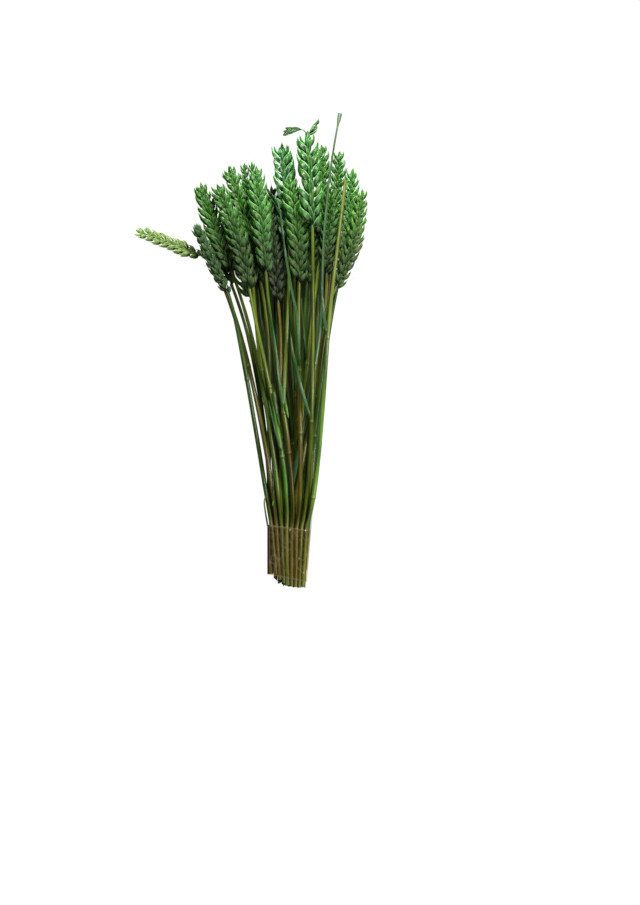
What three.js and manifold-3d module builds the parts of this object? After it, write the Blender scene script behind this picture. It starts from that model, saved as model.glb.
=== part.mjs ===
// A bunch of dried, green-dyed wheat that lies on a flat surface, its feet wrapped in clear tape.
// Millimetres. +Y runs from the cut feet to the ears, +Z is up, and the surface is at z = 0.
// The origin is on the surface, under the middle of the bunch.

import * as THREE from "three";
import Module from "manifold-3d";
import { mergeVertices } from "three/addons/utils/BufferGeometryUtils.js";

const wasm = await Module();
wasm.setup();

const lerp = THREE.MathUtils.lerp;
const smoothstep = THREE.MathUtils.smoothstep;
const radians = THREE.MathUtils.degToRad;

// Straws
const STRAW_FOOT_RADIUS = 1.75;
const STRAW_NECK_RADIUS = 1.4;
const SHEATH_SWELL = 0.35; // the leaf sheaths round the straw's middle add this
const STRAW_SIDES = 6;
const STRAW_STRETCHES = 12; // straight stretches between the tape and the ear
const JOINT_SWELL = 1.2; // a joint's radius over the straw's
const JOINT_HALF_LENGTH = 2.2;

// The tape wrap round a bundle that is pressed flat by its own weight
const TAPE_THICKNESS = 0.8;
const TAPE_TOP_X = 34.6;
const TAPE_FOOT_X = 32.8;
const TAPE_HALF_WIDTH_TOP = 20;
const TAPE_HALF_WIDTH_FOOT = 18.2;
const TAPE_HEIGHT = 13.6;
const TAPE_CORNER_RADIUS = 3.5;
const TAPE_CORNER_BENDS = 4;
const TAPE_TOP_LEFT_Y = -158;
const TAPE_TOP_RIGHT_Y = -163;
const TAPE_FOOT_LEFT_Y = -203;
const TAPE_FOOT_RIGHT_Y = -210;

// Where the straws stand inside the tape, in three rows, the first on the surface
const ROW_STRAWS = [9, 8, 8];
const ROW_Z = [2.85, 6.65, 10.45];
const ROW_HALF_WIDTH_TOP = [15.2, 16.4, 16];
const ROW_FOOT_X = [TAPE_FOOT_X, TAPE_FOOT_X, 35];
const ROW_HALF_WIDTH_FOOT = [14.2, 15, 12.5];
const WAIST_Y = -160; // where the straws leave the tape
const SPLAY_LEFT = radians(-5); // how far the leftmost straws lean to the right as they leave it
const SPLAY_RIGHT = radians(16);
const HANDLE_LEFT = 0.33; // how long they keep to that lean, as a share of the way to the neck
const HANDLE_RIGHT = 0.16;
const MIDDLE_WEIGHT = 0.75; // what a curve's two inner control points weigh at its middle
const FOOT_LEFT_Y = -203; // the feet are cut on a slant that levels out to the right
const FOOT_RIGHT_Y = -215;
const FOOT_CURVE = 3.5;

// Ears
const GRAIN_STEP = 9.2; // from one grain to the next above it
const GRAIN_TURN = radians(27); // how far a grain looks out of the ear's flat side
const GRAIN_TURN_SPREAD = 0.16;
const CORE_HALF_WIDTH = 2.1;
const CORE_HALF_THICKNESS = 1.7;
const GRAIN_BELLY_REACH = 6.0;
const GRAIN_BELLY_HALF_WIDTH = 2.4;
const GRAIN_BACK_REACH = 4.2;
const GRAIN_BACK_HALF_WIDTH = 1.7;
const GRAIN_TIP_REACH = 9.2;
const EAR_NECK_RADIUS = 1.1;
const EAR_NECK_LENGTH = 1.6;
const END_GRAIN_LENGTH = 5.5;
const END_GRAIN_HALF_WIDTH = 3.4;
const GAP = 0.4; // between an ear and its straw's end
const SURFACE_SPARE = 0.5; // the room that grains and joints need over the surface

// Leaves
const LEAF_HALF_THICKNESS = 0.4;
const LEAF_STRETCHES = 10;

// How the stalks come to rest on each other
const STRAW_SAMPLES = 60;
const EAR_SAMPLES = 20;
const LEAF_SAMPLES = 40;
const SETTLE_GAP = 0.6;
const SETTLE_POWER = 2.1; // 2 is a round meeting of two stalks, and more is a boxier one
const LARGEST_RISE = 12; // how far an ear's tip may end above or below its neck
const STRAW_ARCH = 0.004; // how sharply a straw can arch over another, in 1/mm
const LEAF_ARCH = 0.012;
const HELD_LENGTH = 30; // a straw can't arch before it is this far out of the tape
const STIFF_LENGTH = 30; // the end of the straw that lies in line with its ear
const SMOOTHING_SAMPLES = 2;
const LEAF_RISE = 9; // a leaf has left its straw's height this far from its joint

// Every stalk, from the lowest in the pile to the highest. row and slot are its place in the tape: rows count up
// from the surface, slots from left to right. neck is where the ear meets the straw, bow pushes the middle of the
// ear to the right, roll turns the ear about its own axis, size is its breadth against a full ear's, and spare is
// the room that its grains need over the ears below. sway pushes the straw's middle to the right, and sweep is how
// long the straw keeps to its ear's line. joints are shares of the way from the tape to the neck. A leaf starts at
// the joint that is named last and passes through its points.
const STALKS = [
  { ear: "01", row: 0, slot: 0, neck: [-18, 61], tip: [-38, 138], bow: -2, roll: 6, size: 0.85, sway: 1,
    joints: [0.5] },
  { ear: "02", row: 0, slot: 1, neck: [0, 46], tip: [-18, 124], bow: -1, roll: -4, size: 0.9, joints: [0.36],
    leaf: { halfWidth: 1.8, path: [[12.3, 5.9], [9.1, 30.5], [5.9, 60.5]] } },
  { ear: "03", row: 0, slot: 2, neck: [1, 84], tip: [-7, 173], bow: 0, roll: 2, size: 0.62, sway: -4,
    joints: [0.6] },
  { ear: "04", row: 0, slot: 3, neck: [16, 80], tip: [0, 173], bow: 1, roll: -2, size: 0.6, sway: -4,
    joints: [0.45],
    leaf: { halfWidth: 1.8, path: [[23.7, 10.5], [22.8, 33.2], [22.3, 56]] } },
  { ear: "05", row: 0, slot: 4, neck: [29, 61], tip: [18, 151], bow: 0, roll: -3, size: 0.8, sway: 1.5,
    joints: [0.38],
    leaf: { halfWidth: 1.9, path: [[30, 1.4], [29.6, 28.7], [29.1, 56]] } },
  { ear: "06", row: 0, slot: 5, neck: [39, 73], tip: [36, 157], bow: 0, roll: 3, size: 0.85, sway: -1.5,
    joints: [0.55],
    leaf: { halfWidth: 1.9, path: [[36.9, 28.7], [36.2, 56]] } },
  { ear: "07", row: 0, slot: 6, neck: [51, 61], tip: [55, 133], bow: 1, roll: -6, size: 0.92, sway: 1,
    joints: [0.47],
    leaf: { halfWidth: 2, path: [[51.4, 5.9], [52.6, 28.7], [53.5, 57.8]] } },
  { ear: "08", row: 0, slot: 7, neck: [75, 101], tip: [80, 184], bow: 1, roll: 4, size: 0.86, joints: [0.5],
    leaf: { halfWidth: 2, path: [[60.5, 28.7], [61.4, 57.8]] } },
  { ear: "09", row: 0, slot: 8, neck: [78, 63], tip: [92, 135], bow: 2, roll: -7, size: 0.9, joints: [0.58] },
  { ear: "10", row: 1, slot: 5, neck: [65, 102], tip: [64, 189], bow: 1, roll: -8, size: 0.85, sway: -7,
    joints: [0.6],
    leaf: { halfWidth: 1.8, path: [[46.7, 37.8], [46.4, 57.8]] } },
  { ear: "11", row: 1, slot: 0, neck: [9, 62], tip: [-21, 169], bow: 2, roll: 6, size: 1.05, joints: [0.48] },
  { ear: "12", row: 1, slot: 4, neck: [69, 69], tip: [74, 147], bow: -1, roll: 8, size: 0.92, joints: [0.53] },
  { ear: "13", row: 1, slot: 6, neck: [83, 79], tip: [92, 165], bow: 2, roll: -10, size: 0.9, sway: -2,
    joints: [0.41] },
  { ear: "14", row: 1, slot: 7, neck: [77, 56], tip: [101, 146], bow: 5, roll: 10, size: 0.9, joints: [0.38] },
  { ear: null, row: 1, slot: 3, neck: [65, 56], tip: [81, 215.4], bow: -4, thin: true, spare: 0.6, joints: [0.7] },
  { ear: "15", row: 1, slot: 1, neck: [25, 44], tip: [16, 134], bow: 0, roll: 4, size: 1, joints: [0.42] },
  { ear: "16", row: 1, slot: 2, neck: [35, 97], tip: [27, 189], bow: 1, roll: -8, size: 1.2, spare: 0.4, sway: -3,
    joints: [0.34] },
  { ear: "17", row: 2, slot: 1, neck: [-43.5, 87], tip: [-106, 111], bow: 0.5, roll: 20, size: 0.75, sweep: 0.13,
    sway: -3, joints: [0.5] },
  { ear: "18", row: 2, slot: 2, neck: [-17, 72], tip: [-46.5, 154], bow: -2, roll: 8, size: 1.05, sway: -5,
    joints: [0.65] },
  { ear: "19", row: 2, slot: 0, neck: [-20, 51], tip: [-50, 116], bow: -1, roll: 50, size: 0.8, sweep: 0.15,
    sway: -4, joints: [0.56] },
  { ear: "20", row: 2, slot: 3, neck: [-1, 56], tip: [-31, 152], bow: 3, roll: -3, size: 1.1, spare: 1.2,
    joints: [0.61, 0.33],
    leaf: { halfWidth: 1.7, path: [[21.5, -68], [15.5, -44]] } },
  { ear: "21", row: 2, slot: 4, neck: [14, 70], tip: [4, 167], bow: 1, roll: 5, size: 1.05, joints: [0.34, 0.49],
    leaf: { halfWidth: 2.1, path: [[25, -17], [20, 20], [14, 56]] } },
  { ear: "22", row: 2, slot: 5, neck: [44, 61], tip: [35, 156], bow: 3, roll: -2, size: 1.1, spare: 0.6,
    joints: [0.44, 0.67],
    leaf: { halfWidth: 1.8, path: [[42, 29], [36, 61], [31, 92], [27, 124], [23, 139]] } },
  { ear: "23", row: 2, slot: 6, neck: [56, 110], tip: [50.5, 197], bow: 1, roll: 3, size: 1.3, spare: 1.1, broken: true,
    joints: [0.42],
    leaf: { halfWidth: 2, path: [[45, -30], [38, 1], [36, 17]] } },
  { ear: null, row: 2, slot: 7, neck: [73, 47], tip: [86, 154], bow: 0, sway: 1.5, joints: [0.2, 0.84],
    leaf: { halfWidth: 2, path: [[67, 27], [65, 47], [64, 65]] } },
];
const BARE_RADIUS = 1.5; // of the thick bare straw, up to its cut top
const THIN_RADIUS = 0.8; // of the thin bare straw at its top

// The broken tip of the ear that is marked broken: two bent twigs, each with the grains that still hang on it. A
// twig's points are to the right of the ear's tip, up from it and above it, and a grain is given by its root's share
// of the twig, the way it points, from up to the right, and its length
const TWIG_RADIUS = 0.6;
const TWIG_STRETCHES = 8;
const TWIG_SIDES = 5;
const LOOSE_GRAIN_HALF_WIDTH = 1.9;
const TWIGS = [
  {
    path: [[0.5, -3.5, 0], [-1.5, 3, 0.5], [-9, 6.5, 1.5], [-16, 5.5, 1.5], [-23, 2.5, 0.5]],
    grains: [
      { root: 0.4, points: -80, length: 11 },
      { root: 0.55, points: -108, length: 11 },
      { root: 0.68, points: -84, length: 10 },
      { root: 0.8, points: -112, length: 8 },
    ],
  },
  {
    path: [[1.5, -3.5, 0], [3.5, 2, 0.5], [6, 4.5, 1], [8.6, 5, 1], [9.4, 8.8, 1.2]],
    grains: [
      { root: 0.08, points: 52, length: 10 },
      { root: 0.2, points: 28, length: 12 },
    ],
  },
];

// A seeded draw, so that every run gives the same bunch
function seededDraw(seed) {
  let state = seed;
  return () => {
    state = (state * 1664525 + 1013904223) % 4294967296;
    return state / 4294967296;
  };
}

// How full the ear is along its length: slim at the neck, full in the middle, tapered at the tip
function fullness(v) {
  const neck = 0.7 + 0.3 * Math.min(1, v / 0.18);
  const tip = 1 - 0.5 * Math.max(0, (v - 0.6) / 0.4) ** 1.6;
  return neck * tip;
}

// The straw's radius, t from 0 at the tape to 1 at the neck
function strawRadius(stalk, t) {
  const neck = stalk.ear ? STRAW_NECK_RADIUS : stalk.thin ? lerp(STRAW_NECK_RADIUS, THIN_RADIUS, 0.5) : BARE_RADIUS;
  const sheath = smoothstep(t, 0.08, 0.2) * (1 - smoothstep(t, 0.6, 0.85));
  return lerp(STRAW_FOOT_RADIUS, neck, Math.max(0, t)) + SHEATH_SWELL * sheath;
}

// The ear's axis, or the top of a bare straw, seen from above: a curve of one bend
function topPlan(stalk) {
  const neck = new THREE.Vector2(...stalk.neck);
  const tip = new THREE.Vector2(...stalk.tip);
  const along = tip.clone().sub(neck).normalize();
  const right = new THREE.Vector2(along.y, -along.x);
  const middle = neck.clone().lerp(tip, 0.5).addScaledVector(right, 2 * stalk.bow);
  return new THREE.QuadraticBezierCurve(neck, middle, tip);
}

// The straw's centreline above the tape, seen from above
function strawPlan(stalk) {
  const neck = new THREE.Vector2(...stalk.neck);
  const reach = stalk.waist.distanceTo(neck);
  const splay = lerp(SPLAY_LEFT, SPLAY_RIGHT, stalk.share);
  const leaving = new THREE.Vector2(Math.sin(splay), Math.cos(splay));
  const arriving = stalk.topPlan.getTangent(0);
  const straight = neck.clone().sub(stalk.waist).normalize();
  const swayed = new THREE.Vector2(straight.y, -straight.x).multiplyScalar((stalk.sway ?? 0) / MIDDLE_WEIGHT);
  return new THREE.CubicBezierCurve(
    stalk.waist,
    stalk.waist.clone().addScaledVector(leaving, reach * lerp(HANDLE_LEFT, HANDLE_RIGHT, stalk.share)).add(swayed),
    neck.clone().addScaledVector(arriving, -reach * (stalk.sweep ?? 0.33)).add(swayed),
    neck,
  );
}

for (const stalk of STALKS) {
  const u = (2 * stalk.slot) / (ROW_STRAWS[stalk.row] - 1) - 1;
  stalk.share = (u + 1) / 2;
  const footY = lerp(FOOT_LEFT_Y, FOOT_RIGHT_Y, 1 - (1 - stalk.share) ** FOOT_CURVE);
  stalk.foot = new THREE.Vector2(ROW_FOOT_X[stalk.row] + u * ROW_HALF_WIDTH_FOOT[stalk.row], footY);
  stalk.waist = new THREE.Vector2(TAPE_TOP_X + u * ROW_HALF_WIDTH_TOP[stalk.row], WAIST_Y);
  stalk.footZ = ROW_Z[stalk.row];
  stalk.topPlan = topPlan(stalk);
  stalk.strawPlan = strawPlan(stalk);
}

// Points along a curve seen from above, with the way gone and the room taken
function samplesAlong(plan, count, room) {
  const found = [];
  let gone = 0;
  for (let i = 0; i <= count; i++) {
    const at = plan.getPoint(i / count);
    if (i > 0) gone += at.distanceTo(found[i - 1].at);
    found.push({ at, gone, ...room(i / count) });
  }
  return found;
}

function topRoom(stalk, v) {
  if (!stalk.ear) {
    const radius = lerp(strawRadius(stalk, 1), stalk.thin ? THIN_RADIUS : BARE_RADIUS, v);
    return { wide: radius, thick: radius };
  }
  const roll = radians(stalk.roll);
  const size = GRAIN_TIP_REACH * stalk.size * fullness(v);
  const least = GRAIN_TURN - GRAIN_TURN_SPREAD / 2;
  const most = GRAIN_TURN + GRAIN_TURN_SPREAD / 2;
  const wide = Math.max(Math.abs(Math.cos(least + roll)), Math.abs(Math.cos(least - roll)));
  const thick = Math.max(Math.abs(Math.sin(most + roll)), Math.abs(Math.sin(most - roll)));
  return { wide: size * wide, thick: size * thick };
}

// The lowest height at which a point of a stalk clears the surface and all that has been laid
function clearHeight(p, laid, spare) {
  let height = p.thick + SURFACE_SPARE;
  for (const q of laid) {
    const reach = p.wide + q.wide + SETTLE_GAP;
    const apart = p.at.distanceTo(q.at);
    if (apart >= reach) continue;
    const room = (1 - (apart / reach) ** SETTLE_POWER) ** (1 / SETTLE_POWER);
    height = Math.max(height, q.z + (p.thick + q.thick + SETTLE_GAP + spare) * room);
  }
  return height;
}

// Arch a line of samples over what each has to clear, no more sharply than it can bend
function arch(line, clear, sharpness) {
  const raised = line.map((p) =>
    Math.max(p.z, ...line.map((q, j) => clear[j] - sharpness * (p.gone - q.gone) ** 2)),
  );
  const last = line.length - 1;
  return raised.map((z, i) => {
    const reach = Math.min(SMOOTHING_SAMPLES, i, last - i);
    let sum = 0;
    for (let k = -reach; k <= reach; k++) sum += raised[i + k];
    return sum / (2 * reach + 1);
  });
}

// Lay a stalk down: its ear comes to rest first, and its straw arches over what lies below
function layStalk(stalk, laid) {
  const straw = samplesAlong(stalk.strawPlan, STRAW_SAMPLES, (t) => {
    const radius = strawRadius(stalk, t);
    return { wide: radius, thick: radius };
  });
  const top = samplesAlong(stalk.topPlan, EAR_SAMPLES, (v) => topRoom(stalk, v));
  const strawClear = straw.map((p) => clearHeight(p, laid, 0));
  const topClear = top.map((p) => clearHeight(p, laid, stalk.spare ?? 0));
  const strawLength = straw[STRAW_SAMPLES].gone;
  const topLength = top[EAR_SAMPLES].gone;

  stalk.neckZ = Infinity;
  stalk.rise = 0;
  for (let rise = -LARGEST_RISE; rise <= LARGEST_RISE; rise++) {
    let neckZ = 0;
    top.forEach((p, i) => (neckZ = Math.max(neckZ, topClear[i] - (rise * p.gone) / topLength)));
    straw.forEach((p, i) => {
      const before = strawLength - p.gone;
      if (before > STIFF_LENGTH) return;
      const needed = strawClear[i] + (rise * before) / topLength - STRAW_ARCH * before ** 2;
      neckZ = Math.max(neckZ, needed);
    });
    if (neckZ + rise / 2 < stalk.neckZ + stalk.rise / 2) Object.assign(stalk, { neckZ, rise });
  }
  top.forEach((p) => (p.z = stalk.neckZ + (stalk.rise * p.gone) / topLength));

  const endSlope = (stalk.rise / topLength) * strawLength;
  straw.forEach((p, i) => {
    const t = i / STRAW_SAMPLES;
    const ease = t * t * (3 - 2 * t);
    p.z = lerp(stalk.footZ, stalk.neckZ, ease) + endSlope * (t ** 3 - t ** 2);
  });
  const arched = arch(straw, strawClear, STRAW_ARCH);
  straw.forEach((p, i) => {
    const free = smoothstep(p.gone, 0, HELD_LENGTH) * (1 - smoothstep(p.gone, strawLength - 6, strawLength));
    p.z = lerp(p.z, arched[i], free);
  });
  stalk.straw = straw;
  stalk.top = top;
  laid.push(...straw, ...top);
}

// A point of the stalk between two samples, share from 0 to 1
function pointOn(samples, share) {
  const at = THREE.MathUtils.clamp(share, 0, 1) * (samples.length - 1);
  const i = Math.min(Math.floor(at), samples.length - 2);
  const p = samples[i];
  const q = samples[i + 1];
  const part = at - i;
  return new THREE.Vector3(lerp(p.at.x, q.at.x, part), lerp(p.at.y, q.at.y, part), lerp(p.z, q.z, part));
}

// The straw's centreline: t is -1 at the cut foot, 0 at the tape's top edge and 1 at the neck
function strawPoint(stalk, t) {
  if (t >= 0) return pointOn(stalk.straw, t);
  const p = stalk.waist.clone().lerp(stalk.foot, -t);
  return new THREE.Vector3(p.x, p.y, stalk.footZ);
}

// Lay a leaf down: it leaves its joint and comes to rest on what lies below it
function layLeaf(stalk, laid) {
  const root = strawPoint(stalk, stalk.joints[stalk.joints.length - 1]);
  const points = [new THREE.Vector2(root.x, root.y), ...stalk.leaf.path.map((p) => new THREE.Vector2(...p))];
  const line = samplesAlong(new THREE.SplineCurve(points), LEAF_SAMPLES, () => ({
    wide: stalk.leaf.halfWidth,
    thick: LEAF_HALF_THICKNESS,
  }));
  line.forEach((p) => (p.z = 0));
  const arched = arch(line, line.map((p) => clearHeight(p, laid, 0)), LEAF_ARCH);
  line.forEach((p, i) => (p.z = lerp(root.z, arched[i], smoothstep(p.gone, 0, LEAF_RISE))));
  stalk.leaf.line = line;
  laid.push(...line);
}

// The leaves of the lower rows lie among the straws, and those of the top row over them all
const laid = [];
const onTop = (stalk) => stalk.row === 2;
for (const stalk of STALKS) {
  layStalk(stalk, laid);
  if (stalk.leaf && !onTop(stalk)) layLeaf(stalk, laid);
}
STALKS.filter((stalk) => stalk.leaf && onTop(stalk)).forEach((stalk) => layLeaf(stalk, laid));

function meshGeometry(positions, index) {
  const geometry = new THREE.BufferGeometry();
  geometry.setAttribute("position", new THREE.Float32BufferAttribute(positions, 3));
  geometry.setIndex(index);
  return geometry;
}

// A closed mesh from rings of points of equal count, the first and last capped by a fan
function ringsGeometry(rings) {
  const sides = rings[0].length;
  const index = [];
  for (let k = 0; k + 1 < rings.length; k++) {
    for (let i = 0; i < sides; i++) {
      const a = k * sides + i;
      const b = k * sides + ((i + 1) % sides);
      index.push(a, b, b + sides, a, b + sides, a + sides);
    }
  }
  const last = (rings.length - 1) * sides;
  for (let i = 1; i + 1 < sides; i++) {
    index.push(0, i + 1, i);
    index.push(last, last + i, last + i + 1);
  }
  return meshGeometry(rings.flat().flatMap((p) => p.toArray()), index);
}

// The level direction to the right of a line, and the direction up across it
function acrossLine(along) {
  const right = new THREE.Vector3().crossVectors(along, new THREE.Vector3(0, 0, 1)).normalize();
  return { right, up: new THREE.Vector3().crossVectors(right, along) };
}

// Points on a circle across a direction
function ringAcross(centre, along, radius, sides) {
  const { right, up } = acrossLine(along);
  const ring = [];
  for (let i = 0; i < sides; i++) {
    const angle = (2 * Math.PI * (i + 0.5)) / sides;
    const p = centre.clone().addScaledVector(right, radius * Math.cos(angle));
    ring.push(p.addScaledVector(up, -radius * Math.sin(angle)));
  }
  return ring;
}

// A straw from its cut foot to the neck, swollen at its joints
function strawGeometry(stalk) {
  const half = JOINT_HALF_LENGTH / stalk.straw[STRAW_SAMPLES].gone;
  const stations = [{ t: -1, swell: 1 }];
  for (let i = 0; i <= STRAW_STRETCHES; i++) {
    const t = i / STRAW_STRETCHES;
    if (stalk.joints.every((joint) => Math.abs(joint - t) > 2.5 * half)) stations.push({ t, swell: 1 });
  }
  for (const joint of stalk.joints) {
    stations.push({ t: joint - half, swell: 1 });
    stations.push({ t: joint, swell: JOINT_SWELL });
    stations.push({ t: joint + half, swell: 1 });
  }
  stations.sort((a, b) => a.t - b.t);
  const endT = stalk.ear ? 1 - GAP / stalk.straw[STRAW_SAMPLES].gone : 1;
  const rings = stations.map(({ t, swell }) => {
    const at = Math.min(t, endT);
    const along = strawPoint(stalk, Math.min(at + 0.02, 1)).sub(strawPoint(stalk, at - 0.02)).normalize();
    const radius = swell * strawRadius(stalk, t);
    return ringAcross(strawPoint(stalk, at), along, radius, STRAW_SIDES);
  });
  if (!stalk.ear) {
    for (const v of [0.2, 0.4, 0.6, 0.8, 1]) {
      const along = pointOn(stalk.top, v).sub(pointOn(stalk.top, v - 0.05)).normalize();
      const radius = topRoom(stalk, v).wide;
      rings.push(ringAcross(pointOn(stalk.top, v), along, radius, STRAW_SIDES));
    }
  }
  return ringsGeometry(rings);
}

// A leaf: a thin blade that narrows to its end
function leafGeometry(leaf) {
  const rings = [];
  for (let i = 0; i <= LEAF_STRETCHES; i++) {
    const share = i / LEAF_STRETCHES;
    const centre = pointOn(leaf.line, share);
    const along = pointOn(leaf.line, share + 0.03).sub(pointOn(leaf.line, share - 0.03)).normalize();
    const { right, up } = acrossLine(along);
    const halfWidth = leaf.halfWidth * (1 - 0.75 * share ** 3);
    const corner = (x, z) => centre.clone().addScaledVector(right, x).addScaledVector(up, z);
    rings.push([
      corner(-halfWidth, LEAF_HALF_THICKNESS),
      corner(halfWidth, LEAF_HALF_THICKNESS),
      corner(halfWidth, -LEAF_HALF_THICKNESS),
      corner(-halfWidth, -LEAF_HALF_THICKNESS),
    ]);
  }
  return ringsGeometry(rings);
}

function solid(geometry) {
  const merged = mergeVertices(geometry, 1e-4);
  return new wasm.Manifold(
    new wasm.Mesh({
      numProp: 3,
      vertProperties: merged.getAttribute("position").array,
      triVerts: new Uint32Array(merged.index.array),
    }),
  );
}

// Closed meshes that cross, made one
function grownTogether(first, ...others) {
  const whole = others.reduce((sum, other) => sum.add(solid(other)), solid(first));
  const mesh = whole.simplify(0.02).getMesh();
  return meshGeometry(Array.from(mesh.vertProperties), Array.from(mesh.triVerts));
}

// An ear: a slim four-sided core, and on each of its faces, step by step, a pointed grain that leans out
function earGeometry(stalk, draw) {
  const length = stalk.top[EAR_SAMPLES].gone;
  const covered = length - EAR_NECK_LENGTH - END_GRAIN_LENGTH;
  const steps = Math.round(covered / GRAIN_STEP - 0.5);
  const step = covered / (steps + 0.5);
  const roll = radians(stalk.roll);

  // A point beside the axis: its height along it, then its offsets towards the flat side's edge and out of it
  const place = (height, sideways, outwards) => {
    const v = THREE.MathUtils.clamp(height / length, 0, 1);
    const along = pointOn(stalk.top, v + 0.02).sub(pointOn(stalk.top, v - 0.02)).normalize();
    const { right, up } = acrossLine(along);
    const side = right.clone().multiplyScalar(Math.cos(roll)).addScaledVector(up, -Math.sin(roll));
    const front = right.clone().multiplyScalar(Math.sin(roll)).addScaledVector(up, Math.cos(roll));
    return pointOn(stalk.top, v)
      .addScaledVector(along, height - v * length)
      .addScaledVector(side, sideways)
      .addScaledVector(front, outwards);
  };

  const points = [];
  const index = [];
  const add = (height, sideways, outwards) => points.push(place(height, sideways, outwards)) - 1;
  const quad = (a, b, c, d) => index.push(a, c, b, a, d, c);

  // The core's corners at each step, right, front, left and back; the back grains sit half a step higher
  const neckRing = [0, 1, 2, 3].map((i) => {
    const angle = (i * Math.PI) / 2;
    return add(0, EAR_NECK_RADIUS * Math.cos(angle), EAR_NECK_RADIUS * Math.sin(angle));
  });
  const corners = [];
  for (let k = 0; k <= steps; k++) {
    const size = stalk.size * fullness(k / steps);
    const height = EAR_NECK_LENGTH + k * step;
    corners.push([
      add(height + step * 0.25, CORE_HALF_WIDTH * size, 0),
      add(height, 0, CORE_HALF_THICKNESS * size),
      add(height + step * 0.25, -CORE_HALF_WIDTH * size, 0),
      add(height + step * 0.5, 0, -CORE_HALF_THICKNESS * size),
    ]);
  }
  quad(neckRing[3], neckRing[2], neckRing[1], neckRing[0]);
  for (let i = 0; i < 4; i++) {
    const next = (i + 1) % 4;
    quad(neckRing[i], neckRing[next], corners[0][next], corners[0][i]);
  }

  // One grain stands on each face of the core between two steps
  for (let k = 0; k < steps; k++) {
    for (let i = 0; i < 4; i++) {
      const next = (i + 1) % 4;
      const size = stalk.size * fullness((k + 0.5) / steps);
      const base = EAR_NECK_LENGTH + k * step + (i < 2 ? 0.125 : 0.375) * step;
      const turn = GRAIN_TURN + GRAIN_TURN_SPREAD * (draw() - 0.5);
      const looks = [turn, Math.PI - turn, Math.PI + turn, -turn][i];
      const out = [Math.cos(looks), Math.sin(looks)];
      const across = [-out[1], out[0]];
      const grainPoint = (height, reach, offset) =>
        add(base + height * step, reach * out[0] + offset * across[0], reach * out[1] + offset * across[1]);
      const belly = [
        grainPoint(0.5, GRAIN_BELLY_REACH * size, -GRAIN_BELLY_HALF_WIDTH * size),
        grainPoint(0.5, GRAIN_BELLY_REACH * size, GRAIN_BELLY_HALF_WIDTH * size),
        grainPoint(1.04, GRAIN_BACK_REACH * size, GRAIN_BACK_HALF_WIDTH * size),
        grainPoint(1.04, GRAIN_BACK_REACH * size, -GRAIN_BACK_HALF_WIDTH * size),
      ];
      const tip = grainPoint(1.36 + 0.1 * draw(), GRAIN_TIP_REACH * size * (0.92 + 0.08 * draw()), 0);
      const root = [corners[k][i], corners[k][next], corners[k + 1][next], corners[k + 1][i]];
      for (let j = 0; j < 4; j++) {
        const after = (j + 1) % 4;
        quad(root[j], root[after], belly[after], belly[j]);
        index.push(belly[j], tip, belly[after]);
      }
    }
  }

  // The grain at the very end stands on the core's last ring
  const top = corners[steps];
  const endWidth = END_GRAIN_HALF_WIDTH * stalk.size * fullness(1);
  const belly = [0, 1, 2, 3].map((i) => {
    const angle = (i * Math.PI) / 2;
    return add(length - 0.55 * END_GRAIN_LENGTH, endWidth * Math.cos(angle), endWidth * Math.sin(angle));
  });
  const tip = add(length, 0, 0);
  for (let i = 0; i < 4; i++) {
    const next = (i + 1) % 4;
    quad(top[i], top[next], belly[next], belly[i]);
    index.push(belly[i], tip, belly[next]);
  }
  return meshGeometry(points.flatMap((p) => p.toArray()), index);
}

// A loose grain, widest a little below its middle
function looseGrain(root, way, length) {
  const ring = (share, radius) => ringAcross(root.clone().addScaledVector(way, share * length), way, radius, 4);
  return ringsGeometry([ring(-0.05, 0.4), ring(0.45, LOOSE_GRAIN_HALF_WIDTH), ring(1, 0.25)]);
}

// The twigs of a broken tip, with their grains
function brokenTip(stalk) {
  const tip = pointOn(stalk.top, 1);
  return TWIGS.flatMap(({ path, grains }) => {
    const curve = new THREE.CatmullRomCurve3(path.map((p) => new THREE.Vector3(...p).add(tip)));
    const rings = [];
    for (let i = 0; i <= TWIG_STRETCHES; i++) {
      const share = i / TWIG_STRETCHES;
      rings.push(ringAcross(curve.getPoint(share), curve.getTangent(share), TWIG_RADIUS, TWIG_SIDES));
    }
    const loose = grains.map(({ root, points, length }) => {
      const way = new THREE.Vector3(Math.sin(radians(points)), Math.cos(radians(points)), 0.1).normalize();
      return looseGrain(curve.getPoint(root), way, length);
    });
    return [ringsGeometry(rings), ...loose];
  });
}

// The tape's outline across the bundle, a rectangle with round corners that stands on the surface
function tapeOutline(halfWidth, inset) {
  const radius = TAPE_CORNER_RADIUS - inset;
  const left = TAPE_CORNER_RADIUS - halfWidth;
  const high = TAPE_HEIGHT - TAPE_CORNER_RADIUS;
  const centres = [[-left, high], [left, high], [left, TAPE_CORNER_RADIUS], [-left, TAPE_CORNER_RADIUS]];
  const points = [];
  centres.forEach(([x, z], corner) => {
    for (let i = 0; i <= TAPE_CORNER_BENDS; i++) {
      const angle = (Math.PI / 2) * (corner + i / TAPE_CORNER_BENDS);
      points.push([x + radius * Math.cos(angle), z + radius * Math.sin(angle)]);
    }
  });
  return points;
}

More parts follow.
